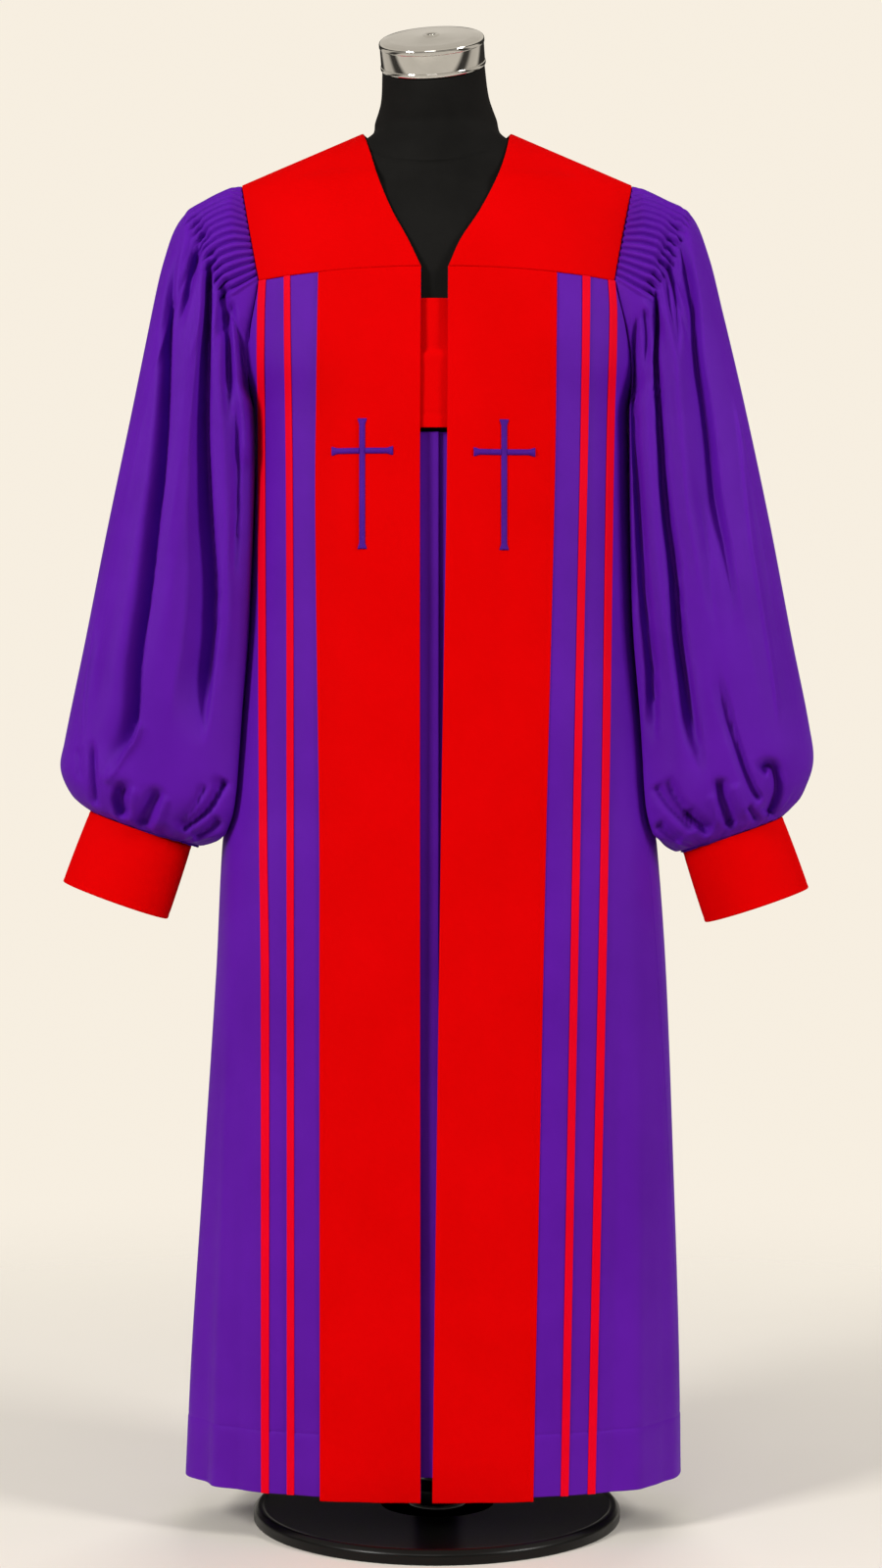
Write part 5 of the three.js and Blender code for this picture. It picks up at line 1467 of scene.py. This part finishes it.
for node, (obj, material, slot) in made.items():
    finish_piece(obj, material, node)

# ---- Floor, light and camera ----
FLOOR_SIZE = 40
FLOOR_FADE = (0.45, 2.2)  # metres from the middle between which the floor fades out
AMBIENT = ((0.95, 0.93, 0.90), 0.24)  # colour and strength of the even light all round
BACKDROP = (0.93, 0.86, 0.75)
# What gloss sees of the studio: share of the way from straight down to straight up, and tone.
REFLECTED = [(0.0, 0.50), (0.31, 0.62), (0.345, 0.04), (0.40, 0.05), (0.44, 0.50), (0.53, 0.58),
             (0.56, 0.03), (0.67, 0.03), (0.74, 0.66), (0.86, 0.56), (1.0, 0.52)]
REFLECTED_TINT = (1.0, 0.93, 0.82)
# Name, place, height it is aimed at, width and height, watts, whether gloss shows it.
LIGHTS = [
    ("left_box", (-2.5, -2.35, 2.4), 1.15, (0.8, 1.5), 108, True),
    ("right_box", (2.8, -1.7, 2.2), 1.15, (0.8, 1.5), 76, True),
    ("front_box", (-0.4, -3.4, 3.0), 0.8, (1.2, 0.9), 14, True),
    ("back_box", (0.5, 2.9, 2.5), 0.9, (2.4, 1.6), 62, False),
]
LIGHT_COLOUR = (1.0, 0.985, 0.96)
CAMERA_PLACE = (0.0042, -3.110, 0.8146)
CAMERA_FALL = 1.14  # degrees below level
CAMERA_LENS = 69.75
SENSOR = 36.0


def build_floor():
    """A plain pale floor that fades out away from the object, so no edge shows behind it."""
    bpy.ops.mesh.primitive_plane_add(size=FLOOR_SIZE)
    floor = bpy.context.object
    floor.name = "floor"
    material, tree, surface = new_material("pale_floor")
    colour = shade(tree, (0.79, 0.745, 0.67), (0.82, 0.775, 0.70), 1.2)
    link(tree, colour, "Color", surface, "Base Color")
    surface.inputs["Roughness"].default_value = 0.75
    surface.inputs["Specular IOR Level"].default_value = 0.1
    place = add_node(tree, "ShaderNodeTexCoord")
    apart = add_node(tree, "ShaderNodeVectorMath", operation="LENGTH")
    link(tree, place, "Object", apart, 0)
    fade = add_node(tree, "ShaderNodeMapRange", interpolation_type="SMOOTHSTEP",
                    From_Min=FLOOR_FADE[0], From_Max=FLOOR_FADE[1])
    link(tree, apart, "Value", fade, "Value")
    faded = add_node(tree, "ShaderNodeBsdfTransparent")
    mix = mixed(tree, fade, "Result", surface, faded)
    link(tree, mix, "Shader", tree.nodes["Material Output"], "Surface")
    floor.data.materials.append(material)


def mixed(tree, share, output, first, second):
    """The first shader, turned into the second one by a share."""
    mix = add_node(tree, "ShaderNodeMixShader")
    link(tree, share, output, mix, "Fac")
    link(tree, first, 0, mix, 1)
    link(tree, second, 0, mix, 2)
    return mix


def build_world():
    """Even light all round; gloss sees soft panels instead, and the camera a plain backdrop."""
    world = bpy.data.worlds.new("studio")
    bpy.context.scene.world = world
    world.use_nodes = True
    tree = world.node_tree
    ambient = tree.nodes["Background"]
    ambient.inputs["Color"].default_value = (*AMBIENT[0], 1)
    ambient.inputs["Strength"].default_value = AMBIENT[1]
    backdrop = add_node(tree, "ShaderNodeBackground", Strength=1.0)
    backdrop.inputs["Color"].default_value = (*BACKDROP, 1)
    panels = add_node(tree, "ShaderNodeBackground", Strength=1.0)
    direction = add_node(tree, "ShaderNodeTexCoord")
    parts = add_node(tree, "ShaderNodeSeparateXYZ")
    link(tree, direction, "Generated", parts, "Vector")
    height = add_node(tree, "ShaderNodeMapRange", From_Min=-1.0)
    link(tree, parts, "Z", height, "Value")
    ramp = add_node(tree, "ShaderNodeValToRGB")
    fill_ramp(ramp, [(place, [tone * tint for tint in REFLECTED_TINT]) for place, tone in REFLECTED])
    link(tree, height, "Result", ramp, "Fac")
    link(tree, ramp, "Color", panels, "Color")
    rays = add_node(tree, "ShaderNodeLightPath")
    in_gloss = mixed(tree, rays, "Is Glossy Ray", ambient, panels)
    seen = mixed(tree, rays, "Is Camera Ray", in_gloss, backdrop)
    link(tree, seen, "Shader", tree.nodes["World Output"], "Surface")


def soft_light(name, place, aim_height, size, power, in_gloss):
    light = bpy.data.lights.new(name, "AREA")
    light.shape = "RECTANGLE"
    light.size, light.size_y = size
    light.energy = power
    light.color = LIGHT_COLOUR
    box = bpy.data.objects.new(name, light)
    box.location = place
    aim = Vector((0, 0, aim_height)) - Vector(place)
    box.rotation_euler = aim.to_track_quat("-Z", "Y").to_euler()
    box.visible_glossy = in_gloss
    bpy.context.scene.collection.objects.link(box)


def build_camera():
    camera = bpy.data.cameras.new("camera")
    camera.sensor_width = SENSOR
    camera.lens = CAMERA_LENS
    camera.clip_end = 100
    eye = bpy.data.objects.new("camera", camera)
    eye.location = CAMERA_PLACE
    eye.rotation_euler = (math.radians(90 - CAMERA_FALL), 0, 0)
    bpy.context.scene.collection.objects.link(eye)
    bpy.context.scene.camera = eye
    bpy.context.scene.view_settings.view_transform = "Standard"


build_floor()
build_world()
for light in LIGHTS:
    soft_light(*light)
build_camera()
